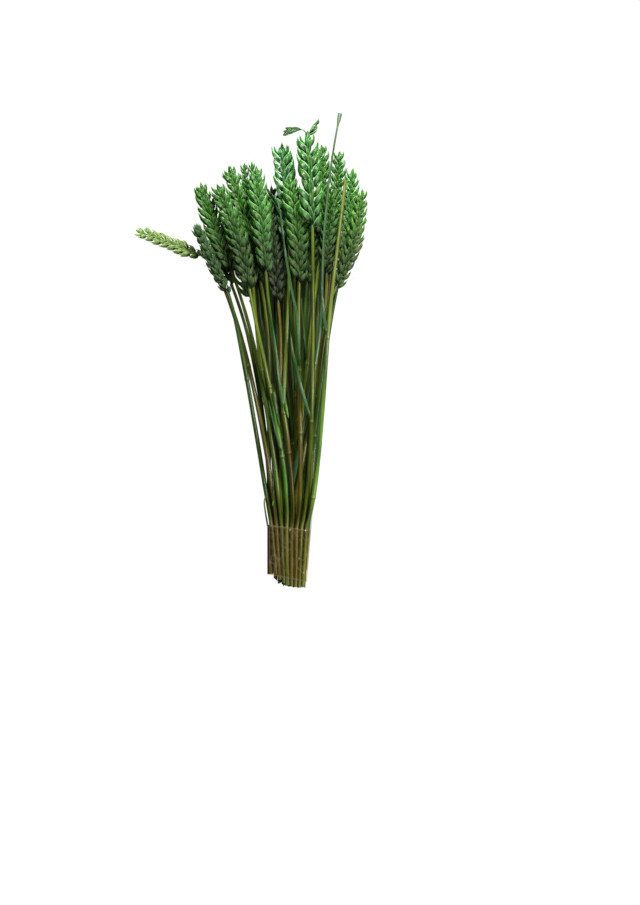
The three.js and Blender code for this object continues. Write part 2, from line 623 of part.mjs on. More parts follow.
// The tape wrap: a tube of film, both edges slanted as it was wound
function tapeGeometry() {
  const edge = (atTop, inset) => {
    const middleX = atTop ? TAPE_TOP_X : TAPE_FOOT_X;
    const halfWidth = atTop ? TAPE_HALF_WIDTH_TOP : TAPE_HALF_WIDTH_FOOT;
    const leftY = atTop ? TAPE_TOP_LEFT_Y : TAPE_FOOT_LEFT_Y;
    const rightY = atTop ? TAPE_TOP_RIGHT_Y : TAPE_FOOT_RIGHT_Y;
    return tapeOutline(halfWidth, inset).map(
      ([x, z]) => new THREE.Vector3(middleX + x, lerp(leftY, rightY, (x / halfWidth + 1) / 2), z),
    );
  };
  const rings = [edge(false, 0), edge(true, 0), edge(true, TAPE_THICKNESS), edge(false, TAPE_THICKNESS)];
  const sides = rings[0].length;
  const index = [];
  for (let k = 0; k < 4; k++) {
    for (let i = 0; i < sides; i++) {
      const a = k * sides + i;
      const b = k * sides + ((i + 1) % sides);
      const c = ((k + 1) % 4) * sides + ((i + 1) % sides);
      const d = ((k + 1) % 4) * sides + i;
      index.push(a, c, b, a, d, c);
    }
  }
  return meshGeometry(rings.flat().flatMap((p) => p.toArray()), index);
}

const EAR_MATERIAL = new THREE.MeshStandardMaterial({ color: 0x4f8a3e, roughness: 0.6, metalness: 0 });
const STRAW_MATERIAL = new THREE.MeshStandardMaterial({ color: 0x6f8a3c, roughness: 0.5, metalness: 0 });
const TAPE_MATERIAL = new THREE.MeshStandardMaterial({ color: 0xd8d2c0, roughness: 0.15, metalness: 0 });

const bunch = new THREE.Group();
function addPiece(name, geometry, material) {
  const mesh = new THREE.Mesh(geometry, material);
  mesh.name = name;
  bunch.add(mesh);
}

STALKS.forEach((stalk, i) => {
  if (stalk.ear) {
    const ear = earGeometry(stalk, seededDraw(100 + i));
    addPiece(`ear_${stalk.ear}`, stalk.broken ? grownTogether(ear, ...brokenTip(stalk)) : ear, EAR_MATERIAL);
  }
  const straw = strawGeometry(stalk);
  const whole = stalk.leaf ? grownTogether(straw, leafGeometry(stalk.leaf)) : straw;
  const name = stalk.ear ?? (stalk.thin ? "bare_thin" : "bare_thick");
  addPiece(`straw_${name}`, whole, STRAW_MATERIAL);
});
addPiece("tape_wrap", tapeGeometry(), TAPE_MATERIAL);

export default bunch;
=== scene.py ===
# A bunch of dried, green-dyed wheat, its feet wrapped in clear tape, that lies on a pale floor.
# Lengths are in millimetres until a mesh is made. +Y runs from the cut feet to the ears, +Z is up, and the
# floor is at z = 0.

import math
from dataclasses import dataclass, field, replace

import bpy
import numpy as np
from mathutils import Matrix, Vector


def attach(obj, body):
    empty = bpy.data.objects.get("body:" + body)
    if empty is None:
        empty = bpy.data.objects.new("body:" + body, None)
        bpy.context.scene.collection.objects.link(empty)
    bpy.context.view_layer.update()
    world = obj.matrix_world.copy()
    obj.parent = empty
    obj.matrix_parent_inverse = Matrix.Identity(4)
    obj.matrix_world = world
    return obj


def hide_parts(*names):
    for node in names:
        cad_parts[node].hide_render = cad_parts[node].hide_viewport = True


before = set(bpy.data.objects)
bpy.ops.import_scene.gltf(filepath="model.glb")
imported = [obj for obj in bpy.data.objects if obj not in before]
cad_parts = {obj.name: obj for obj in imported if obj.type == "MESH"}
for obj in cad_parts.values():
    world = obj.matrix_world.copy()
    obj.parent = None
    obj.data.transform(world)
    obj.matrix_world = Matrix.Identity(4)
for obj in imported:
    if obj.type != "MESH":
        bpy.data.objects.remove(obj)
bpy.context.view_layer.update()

MM = 0.001
SEED = 4100


def lerp(a, b, t):
    return a + (b - a) * t


def smoothstep(x, low, high):
    t = np.clip((x - low) / (high - low), 0, 1)
    return t * t * (3 - 2 * t)


def band(x, rise, full, fade, end):
    """1 from full to fade, and 0 before rise and past end."""
    return smoothstep(x, rise, full) * (1 - smoothstep(x, fade, end))


def hump(x, middle, reach):
    return np.exp(-(((x - middle) / reach) ** 2))


def way_gone(points):
    """The way from the first point to each, along them all."""
    steps = np.linalg.norm(np.diff(points, axis=0), axis=1)
    return np.concatenate([[0], np.cumsum(steps)])


def unit(vectors):
    vectors = np.asarray(vectors, float)
    return vectors / np.linalg.norm(vectors, axis=-1, keepdims=True)


def colour(red, green, blue):
    """A colour given as the screen shows it, as the linear one that a shader works with."""
    shown = np.array([red, green, blue]) / 255
    return np.where(shown <= 0.04045, shown / 12.92, ((shown + 0.055) / 1.055) ** 2.4)


def add_object(name, data):
    made = bpy.data.objects.new(name, data)
    bpy.context.scene.collection.objects.link(made)
    return made


# The camera looks straight down, so that the ears point up in the picture
CAMERA_X = 62.8
CAMERA_Y = -91.9
CAMERA_HEIGHT = 3000
FRAMED_HEIGHT = 822
FRAMED_AT_Z = 28
SENSOR = 36
CLIP_METRES = 20


def make_camera():
    data = bpy.data.cameras.new("camera")
    data.sensor_width = SENSOR
    data.lens = SENSOR * (CAMERA_HEIGHT - FRAMED_AT_Z) / FRAMED_HEIGHT
    data.clip_end = CLIP_METRES
    camera = add_object("camera", data)
    camera.location = (CAMERA_X * MM, CAMERA_Y * MM, CAMERA_HEIGHT * MM)
    bpy.context.scene.camera = camera


# Straws
STRAW_FOOT_RADIUS = 1.75
STRAW_NECK_RADIUS = 1.4
SHEATH_SWELL = 0.35
SHEATH_STRETCH = (0.08, 0.2, 0.6, 0.85)
BARE_RADIUS = 1.5
THIN_RADIUS = 0.8

# Where the straws stand inside the tape, in three rows, the first on the surface
TAPE_TOP_X = 34.6
TAPE_FOOT_X = 32.8
ROW_STRAWS = [9, 8, 8]
ROW_Z = [2.85, 6.65, 10.45]
ROW_FOOT_X = [TAPE_FOOT_X, TAPE_FOOT_X, 35]
ROW_HALF_WIDTH_TOP = [15.2, 16.4, 16]
ROW_HALF_WIDTH_FOOT = [14.2, 15, 12.5]
WAIST_Y = -160
SPLAY_LEFT = math.radians(-5)
SPLAY_RIGHT = math.radians(16)
HANDLE_LEFT = 0.33
HANDLE_RIGHT = 0.16
FOOT_LEFT_Y = -203
FOOT_RIGHT_Y = -215
FOOT_CURVE = 3.5
MIDDLE_WEIGHT = 0.75

# How an ear's fullness changes from its neck to its tip
NECK_FULLNESS = 0.7
NECK_SHARE = 0.18
TIP_LOSS = 0.5
TIP_FROM = 0.6
TIP_POWER = 1.6

# The room that an ear takes, and how the stalks come to rest on each other
GRAIN_TURN = math.radians(27)
GRAIN_TURN_SPREAD = 0.16
GRAIN_TIP_REACH = 9.2
SURFACE_SPARE = 0.5
LEAF_HALF_THICKNESS = 0.4
STRAW_SAMPLES = 60
EAR_SAMPLES = 20
LEAF_SAMPLES = 40
SETTLE_GAP = 0.6
SETTLE_POWER = 2.1
LARGEST_RISE = 12
STRAW_ARCH = 0.004
LEAF_ARCH = 0.012
HELD_LENGTH = 30
STIFF_LENGTH = 30
NECK_LENGTH = 6
SMOOTHING_SAMPLES = 2
LEAF_RISE = 9
TOP_ROW = 2


@dataclass
class Stalk:
    """One straw with its ear, or a bare one. The places are those of the CAD model. A leaf is its half width,
    and the points that it passes."""

    name: str
    row: int
    slot: int
    neck: tuple
    tip: tuple
    bow: float = 0
    roll: float = 0
    size: float = 1
    joints: tuple = ()
    has_ear: bool = True
    thin: bool = False
    broken: bool = False
    spare: float = 0
    sweep: float = 0.33
    sway: float = 0
    leaf: tuple = ()
    laid: dict = field(default_factory=dict)


# From the lowest in the pile to the highest
STALKS = [
    Stalk("01", 0, 0, (-18, 61), (-38, 138), -2, 6, 0.85, (0.5,), sway=1),
    Stalk("02", 0, 1, (0, 46), (-18, 124), -1, -4, 0.9, (0.36,),
          leaf=(1.8, (12.3, 5.9), (9.1, 30.5), (5.9, 60.5))),
    Stalk("03", 0, 2, (1, 84), (-7, 173), 0, 2, 0.62, (0.6,), sway=-4),
    Stalk("04", 0, 3, (16, 80), (0, 173), 1, -2, 0.6, (0.45,), sway=-4,
          leaf=(1.8, (23.7, 10.5), (22.8, 33.2), (22.3, 56))),
    Stalk("05", 0, 4, (29, 61), (18, 151), 0, -3, 0.8, (0.38,), sway=1.5,
          leaf=(1.9, (30, 1.4), (29.6, 28.7), (29.1, 56))),
    Stalk("06", 0, 5, (39, 73), (36, 157), 0, 3, 0.85, (0.55,), sway=-1.5,
          leaf=(1.9, (36.9, 28.7), (36.2, 56))),
    Stalk("07", 0, 6, (51, 61), (55, 133), 1, -6, 0.92, (0.47,), sway=1,
          leaf=(2, (51.4, 5.9), (52.6, 28.7), (53.5, 57.8))),
    Stalk("08", 0, 7, (75, 101), (80, 184), 1, 4, 0.86, (0.5,),
          leaf=(2, (60.5, 28.7), (61.4, 57.8))),
    Stalk("09", 0, 8, (78, 63), (92, 135), 2, -7, 0.9, (0.58,)),
    Stalk("10", 1, 5, (65, 102), (64, 189), 1, -8, 0.85, (0.6,), sway=-7,
          leaf=(1.8, (46.7, 37.8), (46.4, 57.8))),
    Stalk("11", 1, 0, (9, 62), (-21, 169), 2, 6, 1.05, (0.48,)),
    Stalk("12", 1, 4, (69, 69), (74, 147), -1, 8, 0.92, (0.53,)),
    Stalk("13", 1, 6, (83, 79), (92, 165), 2, -10, 0.9, (0.41,), sway=-2),
    Stalk("14", 1, 7, (77, 56), (101, 146), 5, 10, 0.9, (0.38,)),
    Stalk("bare_thin", 1, 3, (65, 56), (81, 215.4), -4, joints=(0.7,), has_ear=False, thin=True, spare=0.6),
    Stalk("15", 1, 1, (25, 44), (16, 134), 0, 4, 1, (0.42,)),
    Stalk("16", 1, 2, (35, 97), (27, 189), 1, -8, 1.2, (0.34,), spare=0.4, sway=-3),
    Stalk("17", 2, 1, (-43.5, 87), (-106, 111), 0.5, 20, 0.75, (0.5,), sweep=0.13, sway=-3),
    Stalk("18", 2, 2, (-17, 72), (-46.5, 154), -2, 8, 1.05, (0.65,), sway=-5),
    Stalk("19", 2, 0, (-20, 51), (-50, 116), -1, 50, 0.8, (0.56,), sweep=0.15, sway=-4),
    Stalk("20", 2, 3, (-1, 56), (-31, 152), 3, -3, 1.1, (0.61, 0.33), spare=1.2,
          leaf=(1.7, (21.5, -68), (15.5, -44))),
    Stalk("21", 2, 4, (14, 70), (4, 167), 1, 5, 1.05, (0.34, 0.49),
          leaf=(2.1, (25, -17), (20, 20), (14, 56))),
    Stalk("22", 2, 5, (44, 61), (35, 156), 3, -2, 1.1, (0.44, 0.67), spare=0.6,
          leaf=(1.8, (42, 29), (36, 61), (31, 92), (27, 124), (23, 139))),
    Stalk("23", 2, 6, (56, 110), (50.5, 197), 1, 3, 1.3, (0.42,), broken=True, spare=1.1,
          leaf=(2, (45, -30), (38, 1), (36, 17))),
    Stalk("bare_thick", 2, 7, (73, 47), (86, 154), joints=(0.2, 0.84), has_ear=False, sway=1.5,
          leaf=(2, (67, 27), (65, 47), (64, 65))),
]


def fullness(v):
    """How full the ear is along its length: slim at the neck, full in the middle, tapered at the tip."""
    neck = lerp(NECK_FULLNESS, 1, np.minimum(1, v / NECK_SHARE))
    tip = 1 - TIP_LOSS * (np.maximum(0, v - TIP_FROM) / (1 - TIP_FROM)) ** TIP_POWER
    return neck * tip


def neck_radius(stalk):
    if stalk.has_ear:
        return STRAW_NECK_RADIUS
    return lerp(STRAW_NECK_RADIUS, THIN_RADIUS, 0.5) if stalk.thin else BARE_RADIUS


def straw_radius(stalk, t):
    swell = SHEATH_SWELL * band(t, *SHEATH_STRETCH)
    return lerp(STRAW_FOOT_RADIUS, neck_radius(stalk), np.maximum(0, t)) + swell


def quadratic(a, b, c, t):
    t = t[:, None]
    return (1 - t) ** 2 * a + 2 * t * (1 - t) * b + t * t * c


def cubic(a, b, c, d, t):
    t = t[:, None]
    return (1 - t) ** 3 * a + 3 * t * (1 - t) ** 2 * b + 3 * t * t * (1 - t) * c + t ** 3 * d


def spline(points, t):
    """A curve through the points, each stretch as long in t as the next."""
    last = len(points) - 1
    found = []
    for at in np.asarray(t) * last:
        i = min(int(at), last)
        w = at - i
        a, b = points[max(i - 1, 0)], points[i]
        c, d = points[min(i + 1, last)], points[min(i + 2, last)]
        leaving, arriving = (c - a) / 2, (d - b) / 2
        found.append(
            (2 * b - 2 * c + leaving + arriving) * w ** 3
            + (3 * c - 3 * b - 2 * leaving - arriving) * w ** 2
            + leaving * w
            + b
        )
    return np.array(found)


class Samples:
    """Points along a curve seen from above, with the way gone, the room taken and, once laid, the height."""

    def __init__(self, at, wide, thick):
        self.at = at
        self.gone = way_gone(at)
        self.wide = np.broadcast_to(wide, len(at)).astype(float)
        self.thick = np.broadcast_to(thick, len(at)).astype(float)
        self.z = np.zeros(len(at))

    @property
    def length(self):
        return self.gone[-1]

    def point(self, share):
        """Points of the laid curve, share from 0 to 1."""
        at = np.clip(share, 0, 1) * (len(self.z) - 1)
        return np.stack([np.interp(at, range(len(self.z)), row) for row in (*self.at.T, self.z)], axis=-1)


def plan_curves(stalk):
    """Lays out the straw and the ear as seen from above."""
    u = 2 * stalk.slot / (ROW_STRAWS[stalk.row] - 1) - 1
    share = (u + 1) / 2
    foot_y = lerp(FOOT_LEFT_Y, FOOT_RIGHT_Y, 1 - (1 - share) ** FOOT_CURVE)
    foot = np.array([ROW_FOOT_X[stalk.row] + u * ROW_HALF_WIDTH_FOOT[stalk.row], foot_y])
    waist = np.array([TAPE_TOP_X + u * ROW_HALF_WIDTH_TOP[stalk.row], WAIST_Y], float)
    neck, tip = np.array(stalk.neck, float), np.array(stalk.tip, float)
    along = unit(tip - neck)
    middle = (neck + tip) / 2 + np.array([along[1], -along[0]]) * 2 * stalk.bow
    reach = np.linalg.norm(waist - neck)
    splay = lerp(SPLAY_LEFT, SPLAY_RIGHT, share)
    leaving = np.array([math.sin(splay), math.cos(splay)]) * lerp(HANDLE_LEFT, HANDLE_RIGHT, share)
    arriving = unit(middle - neck) * stalk.sweep
    straight = unit(neck - waist)
    swayed = np.array([straight[1], -straight[0]]) * stalk.sway / MIDDLE_WEIGHT
    t = np.linspace(0, 1, STRAW_SAMPLES + 1)
    v = np.linspace(0, 1, EAR_SAMPLES + 1)
    radius = straw_radius(stalk, t)
    line = cubic(waist, waist + leaving * reach + swayed, neck - arriving * reach + swayed, neck, t)
    straw = Samples(line, radius, radius)
    if stalk.has_ear:
        size = GRAIN_TIP_REACH * stalk.size * fullness(v)
        roll = math.radians(stalk.roll)
        least, most = GRAIN_TURN - GRAIN_TURN_SPREAD / 2, GRAIN_TURN + GRAIN_TURN_SPREAD / 2
        wide = size * max(abs(math.cos(least + roll)), abs(math.cos(least - roll)))
        thick = size * max(abs(math.sin(most + roll)), abs(math.sin(most - roll)))
    else:
        wide = thick = lerp(neck_radius(stalk), THIN_RADIUS if stalk.thin else BARE_RADIUS, v)
    top = Samples(quadratic(neck, middle, tip, v), wide, thick)
    stalk.laid.update(foot=foot, waist=waist, foot_z=ROW_Z[stalk.row], straw=straw, top=top)


def clear_heights(samples, pile, spare):
    """The lowest heights at which the samples clear the floor and all that has been laid."""
    heights = samples.thick + SURFACE_SPARE
    for other in pile:
        reach = samples.wide[:, None] + other.wide + SETTLE_GAP
        apart = np.linalg.norm(samples.at[:, None] - other.at, axis=2)
        room = (1 - np.minimum(1, apart / reach) ** SETTLE_POWER) ** (1 / SETTLE_POWER)
        over = other.z + (samples.thick[:, None] + other.thick + SETTLE_GAP + spare) * room
        heights = np.maximum(heights, np.where(apart < reach, over, 0).max(axis=1))
    return heights


def arch(samples, clear, sharpness):
    """Arches a line of samples over what each has to clear, no more sharply than it can bend."""
    apart = samples.gone[:, None] - samples.gone
    raised = np.maximum(samples.z, (clear - sharpness * apart ** 2).max(axis=1))
    last = len(raised) - 1
    smooth = []
    for i in range(last + 1):
        reach = min(SMOOTHING_SAMPLES, i, last - i)
        smooth.append(raised[i - reach:i + reach + 1].mean())
    return np.array(smooth)


def lay_stalk(stalk, pile):
    """The ear comes to rest first, and the straw arches over what lies below it."""
    straw, top = stalk.laid["straw"], stalk.laid["top"]
    straw_clear = clear_heights(straw, pile, 0)
    top_clear = clear_heights(top, pile, stalk.spare)
    before = straw.length - straw.gone
    near = before <= STIFF_LENGTH
    best = (math.inf, 0, 0)
    for rise in range(-LARGEST_RISE, LARGEST_RISE + 1):
        under_ear = (top_clear - rise * top.gone / top.length).max()
        under_straw = (straw_clear + rise * before / top.length - STRAW_ARCH * before ** 2)[near].max()
        neck_z = max(0, under_ear, under_straw)
        if neck_z + rise / 2 < best[0]:
            best = (neck_z + rise / 2, neck_z, rise)
    _, neck_z, rise = best
    top.z = neck_z + rise * top.gone / top.length
    t = np.linspace(0, 1, STRAW_SAMPLES + 1)
    end_slope = rise / top.length * straw.length
    straw.z = lerp(stalk.laid["foot_z"], neck_z, smoothstep(t, 0, 1)) + end_slope * (t ** 3 - t ** 2)
    free = band(straw.gone, 0, HELD_LENGTH, straw.length - NECK_LENGTH, straw.length)
    straw.z = lerp(straw.z, arch(straw, straw_clear, STRAW_ARCH), free)
    pile += [straw, top]


def straw_point(stalk, t):
    """The straw's centreline: t is -1 at the cut foot, 0 at the tape's top edge and 1 at the neck."""
    t = np.atleast_1d(np.asarray(t, float))
    held = lerp(stalk.laid["waist"], stalk.laid["foot"], np.clip(-t, 0, 1)[:, None])
    held = np.column_stack([held, np.full(len(t), stalk.laid["foot_z"])])
    return np.where(t[:, None] >= 0, stalk.laid["straw"].point(t), held)


def lay_leaf(root, path, half_width, pile):
    """A leaf leaves its joint and comes to rest on what lies below it."""
    points = [root[:2], *(np.array(p, float) for p in path)]
    line = Samples(spline(points, np.linspace(0, 1, LEAF_SAMPLES + 1)), half_width, LEAF_HALF_THICKNESS)
    arched = arch(line, clear_heights(line, pile, 0), LEAF_ARCH)
    line.z = lerp(root[2], arched, smoothstep(line.gone, 0, LEAF_RISE))
    pile.append(line)
    return line


def lay_stalk_leaf(stalk, pile):
    root = straw_point(stalk, stalk.joints[-1])[0]
    half_width, *path = stalk.leaf
    stalk.laid["leaf"] = lay_leaf(root, path, half_width, pile)


def lay_bunch():
    """The leaves of the lower rows lie among the straws, and those of the top row over them all."""
    pile = []
    for stalk in STALKS:
        plan_curves(stalk)
        lay_stalk(stalk, pile)
        if stalk.leaf and stalk.row < TOP_ROW:
            lay_stalk_leaf(stalk, pile)
    for stalk in STALKS:
        if stalk.leaf and stalk.row == TOP_ROW:
            lay_stalk_leaf(stalk, pile)
    return pile


# Meshes
SHARP_DEGREES = 62

# The length that counts as 1 in the marks along a straw or a leaf
MARK_LENGTH = 100


class Body:
    """The points and faces of one piece, with what its material reads at each point: a mark, which says where
    on its scale, straw or leaf the point is, and its tint: its dye, with painted light and shade in places."""

    def __init__(self):
        self.points, self.faces, self.marks, self.tints = [], [], [], []
        self.count = 0

    def add(self, points, faces, mark, tint):
        shape = points.shape
        self.points.append(points.reshape(-1, 3))
        self.marks.append(np.broadcast_to(mark, shape).reshape(-1, 3))
        self.tints.append(np.broadcast_to(tint, shape).reshape(-1, 3))
        self.faces += [f + self.count for f in faces]
        self.count += len(self.points[-1])

    def make_piece(self, name, material, slot, node):
        points = np.concatenate(self.points) * MM
        corners = np.concatenate([f.ravel() for f in self.faces])
        sizes = np.concatenate([np.full(len(f), f.shape[1]) for f in self.faces])
        mesh = bpy.data.meshes.new(name)
        mesh.vertices.add(len(points))
        mesh.vertices.foreach_set("co", points.astype(np.float32).ravel())
        mesh.loops.add(len(corners))
        mesh.loops.foreach_set("vertex_index", corners.astype(np.int32))
        mesh.polygons.add(len(sizes))
        mesh.polygons.foreach_set("loop_start", (np.cumsum(sizes) - sizes).astype(np.int32))
        mesh.update(calc_edges=True)
        mesh.shade_smooth()
        mesh.set_sharp_from_angle(angle=math.radians(SHARP_DEGREES))
        mark = mesh.attributes.new("mark", "FLOAT_VECTOR", "POINT")
        mark.data.foreach_set("vector", np.concatenate(self.marks).astype(np.float32).ravel())
        tint = mesh.attributes.new("tint", "FLOAT_COLOR", "POINT")
        tints = np.column_stack([np.concatenate(self.tints), np.ones(len(points))])
        tint.data.foreach_set("color", tints.astype(np.float32).ravel())
        mesh.materials.append(material)
        made = add_object(name, mesh)
        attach(made, "root")
        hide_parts(node)


def lattice(rings, sides, forms=1):
    """The faces between rings of points, with a cap at each end, for forms stored one after the other."""
    k, i = np.meshgrid(np.arange(rings - 1), np.arange(sides), indexing="ij")
    a = (k * sides + i).ravel()
    b = (k * sides + (i + 1) % sides).ravel()
    walls = np.stack([a, b, b + sides, a + sides], axis=1)
    first = np.arange(sides)[::-1]
    last = (rings - 1) * sides + np.arange(sides)
    start = np.arange(forms)[:, None, None] * rings * sides
    return [
        (walls + start).reshape(-1, 4),
        (np.stack([first, last]) + start).reshape(-1, sides),
    ]


def ring_angles(sides):
    return np.linspace(0, 2 * math.pi, sides, endpoint=False)


def tangents(points):
    return unit(np.gradient(points, axis=0))


def turned(right, up, angle):
    """The two directions, turned about the one that they stand across."""
    cosine, sine = np.cos(angle)[..., None], np.sin(angle)[..., None]
    return right * cosine - up * sine, right * sine + up * cosine


def across_line(along):
    """The level directions to the right of a line, and the directions up across it."""
    right = unit(np.cross(along, [0, 0, 1]))
    return right, np.cross(right, along)


def tube_points(centres, right, up, reach, angle):
    """Rings of points round a line, from the right over the underside, so that their faces look out."""
    sideways, upward = reach * np.cos(angle), reach * np.sin(angle)
    return centres[:, None] + sideways[..., None] * right[:, None] - upward[..., None] * up[:, None]


def square_to(along, directions):
    """The directions, turned square to the ways that the scales grow."""
    return unit(directions - (directions * along).sum(axis=1, keepdims=True) * along)


def joined(*channels):
    """Marks or points from their three channels."""
    return np.stack(np.broadcast_arrays(*channels), axis=-1)


# Ears. Lengths are those of an ear of size 1, and angles are in degrees
SPIKELET_PITCH = 8.3
PITCH_POWER = 0.4
FEWEST_SPIKELETS = 6
FULLNESS_POWER = 0.7
OPENING_SPREAD = 3.5
PLUMPNESS_SPREAD = 0.06
EAR_NECK_LENGTH = 1.6
END_LENGTH = 10
END_SIZE = 0.92
AHEAD = 0.02

# A scale's section: how far its back goes round, and the flatter inside
ARC = math.radians(100)
INSIDE_COLUMNS = np.array([0.62, 0, -0.62])
INSIDE_WIDTH = 0.78
INSIDE_DEPTH = 0.3
INSIDE_OFFSET = 0.12
KEEL_WIDTH = 0.35
TIP_CURL = 0.6

# How much the scales differ
LEAN_SPREAD = 2.6
TURN_SPREAD = 8
LENGTH_SPREAD = 0.06
GIRTH_SPREAD = 0.07
ROOT_SPREAD = 0.14

# The bristles at the scales' tips, few of which are long
AWN_FROM = 0.96
AWN_LEAST = 0.4
AWN_MORE = 5
AWN_RARITY = 5
AWN_STATIONS = 4
AWN_SIDES = 3
AWN_RADIUS = 0.12
AWN_TAPER = 0.8
AWN_CURL = 0.16
AWN_MARK = (1, 0.95, 0.5)

# The ear's own stem
RACHIS_HALF_WIDTH = 1.25
RACHIS_HALF_THICKNESS = 0.8
RACHIS_SIDES = 8
RACHIS_STATIONS = 60
RACHIS_SINK = 0.4
RACHIS_STOP = 3
RACHIS_NECK = 4
RACHIS_WAVE = 0.25
RACHIS_SHIFT = 0.35
RACHIS_MARK = (0.5, 0.2, 0.5)


@dataclass
class ScaleShape:
    """The outline of one scale: its width and depth at stations from base to tip, and its section."""

    stations: list
    width: list
    depth: list
    outer_points: int
    keel: float

    def section(self):
        """A plump lens, closed: over the back from margin to margin, then back along the flatter inside."""
        over = np.linspace(-ARC, ARC, self.outer_points)
        inside = INSIDE_COLUMNS * ARC
        keel = 1 + self.keel * hump(over, 0, KEEL_WIDTH)
        x = np.concatenate([np.sin(over), INSIDE_WIDTH * np.sin(inside)])
        z = np.concatenate([np.cos(over) * keel, -INSIDE_DEPTH * np.cos(inside) - INSIDE_OFFSET])
        return x, z, np.concatenate([over, inside]) / ARC

    def faces(self, count):
        return lattice(len(self.stations), self.outer_points + len(INSIDE_COLUMNS), count)

    def coarser(self):
        """The same outline with half the stations, for the scales on the ear's back."""
        stations, width, depth = (row[::2] for row in (self.stations, self.width, self.depth))
        return ScaleShape(stations, width, depth, self.outer_points - 2, self.keel)


LEMMA = ScaleShape(
    [0, 0.06, 0.17, 0.31, 0.46, 0.62, 0.77, 0.9, 1],
    [0.2, 0.52, 0.82, 0.98, 1, 0.88, 0.62, 0.3, 0.05],
    [0.3, 0.6, 0.86, 1, 1, 0.88, 0.64, 0.34, 0.06],
    7, 0.16,
)
GLUME = ScaleShape(
    [0, 0.06, 0.18, 0.34, 0.52, 0.69, 0.83, 0.94, 1],
    [0.3, 0.6, 0.88, 1, 0.97, 0.82, 0.56, 0.26, 0.06],
    [0.35, 0.6, 0.88, 1, 0.96, 0.82, 0.58, 0.3, 0.08],
    7, 0.34,
)


@dataclass
class Scale:
    """Where a scale stands in its spikelet. It leans away from the ear's axis to the side, and forward out of
    its flat side, and back_turn says where the scale's back looks, from sideways to straight out."""

    shape: ScaleShape
    root: tuple
    lean: float
    forward: float
    back_turn: float
    length: float
    half_width: float
    half_depth: float
    bow: float
    awn: float


# The half of a spikelet that shows on one flat side of the ear, and the same on its back
SPIKELET = [
    Scale(GLUME, (1.4, -0.2, 1.5), 33, 12, 54, 10.2, 2.5, 1.9, 0.6, 1.2),
    Scale(LEMMA, (2.2, 1.6, 0.6), 35, 8, 26, 10.6, 2.3, 1.8, 0.7, 1.8),
    Scale(LEMMA, (0.2, 2.5, 2.6), 7, 9, 78, 9.4, 1.5, 1.8, 0.5, 1.2),
]
BACK_SPIKELET = [replace(scale, shape=scale.shape.coarser()) for scale in SPIKELET]

# The floret that stands out between those scales on the front, and the one on the ear's very edge
INNER_FLORET = Scale(LEMMA, (0.9, 3.2, 1.9), 20, 11, 62, 9.4, 1.75, 1.6, 0.5, 1.2)
EDGE_FLORET = Scale(LEMMA, (3.0, 2.6, 0), 27, 0, 4, 11.0, 1.9, 1.5, 0.6, 2.4)
END_SPIKELET = [
    Scale(LEMMA, (0.9, 0, 0.3), 25, 6, 20, 10.0, 2.0, 1.7, 0.5, 2.0),
    Scale(GLUME, (0.6, -1, 0.8), 15, 14, 62, 8.6, 2.1, 1.7, 0.4, 1.4),
    Scale(LEMMA, (0.1, 2, 0.3), 4, 7, 85, 9.6, 1.7, 1.5, 0.4, 2.2),
]

# The ear's colour at heights in the bunch, from its foot to its top: its dye, with painted light that makes
# the upper ears lighter than the lower ones
DYE_AND_PAINTED_LIGHT_HEIGHTS = [45, 90, 130, 165, 200]
DYE_AND_PAINTED_LIGHT_COLOURS = [
    colour(42, 68, 8), colour(32, 68, 8), colour(40, 98, 18), colour(46, 104, 28), colour(54, 114, 40),
]
YELLOW_DYE = colour(160, 170, 90)
MINT_DYE = colour(120, 195, 140)
AGED = colour(84, 82, 32)


@dataclass
class EarLook:
    """How an ear differs from the rest: value lightens or darkens its whole colour, partly as painted light
    and shade, yellow and mint shift it, girth widens its scales, and inner says whether its inner florets
    show."""

    value: float = 1
    yellow: float = 0
    mint: float = 0
    girth: float = 1
    inner: bool = True


EAR_LOOKS = {
    "05": EarLook(0.38),
    "08": EarLook(1.15, mint=0.02),
    "12": EarLook(0.8),
    "13": EarLook(1.25, mint=0.02),
    "14": EarLook(1.1, yellow=0.02),
    "15": EarLook(0.36),
    "16": EarLook(1.1, mint=0.08, inner=False),
    "17": EarLook(2.2, yellow=0.2, mint=0.06),
    "19": EarLook(0.8, mint=0.05, girth=0.86),
    "20": EarLook(0.9),
    "21": EarLook(1.1, mint=0.02),
    "23": EarLook(0.95, mint=0.04, inner=False),
}


def ear_tint(look, heights):
    tint = joined(*(np.interp(heights, DYE_AND_PAINTED_LIGHT_HEIGHTS, channel) for channel in zip(*DYE_AND_PAINTED_LIGHT_COLOURS)))
    tint = lerp(tint, YELLOW_DYE, look.yellow)
    tint = lerp(tint, MINT_DYE, look.mint)
    return tint * look.value


def ear_placer(stalk):
    """Bends a straight ear's points, x to the side, y along and z out of the flat side, onto the laid ear."""
    top = stalk.laid["top"]
    roll = math.radians(stalk.roll)

    def place(points):
        v = np.clip(points[..., 1] / top.length, 0, 1)
        along = unit(top.point(v + AHEAD) - top.point(v - AHEAD))
        right, up = across_line(along)
        side, front = turned(right, up, roll)
        beyond = points[..., 1] - v * top.length
        return top.point(v) + beyond[..., None] * along + points[..., 0:1] * side + points[..., 2:3] * front

    return place


@dataclass
class Ear:
    """What the parts of one ear share as they grow."""

    body: Body
    place: object
    look: EarLook
    draw: object

    def add(self, points, faces, mark):
        self.body.add(points, faces, mark, ear_tint(self.look, points[..., 1]))

    def grow(self, points, faces, mark):
        self.add(self.place(points), faces, mark)


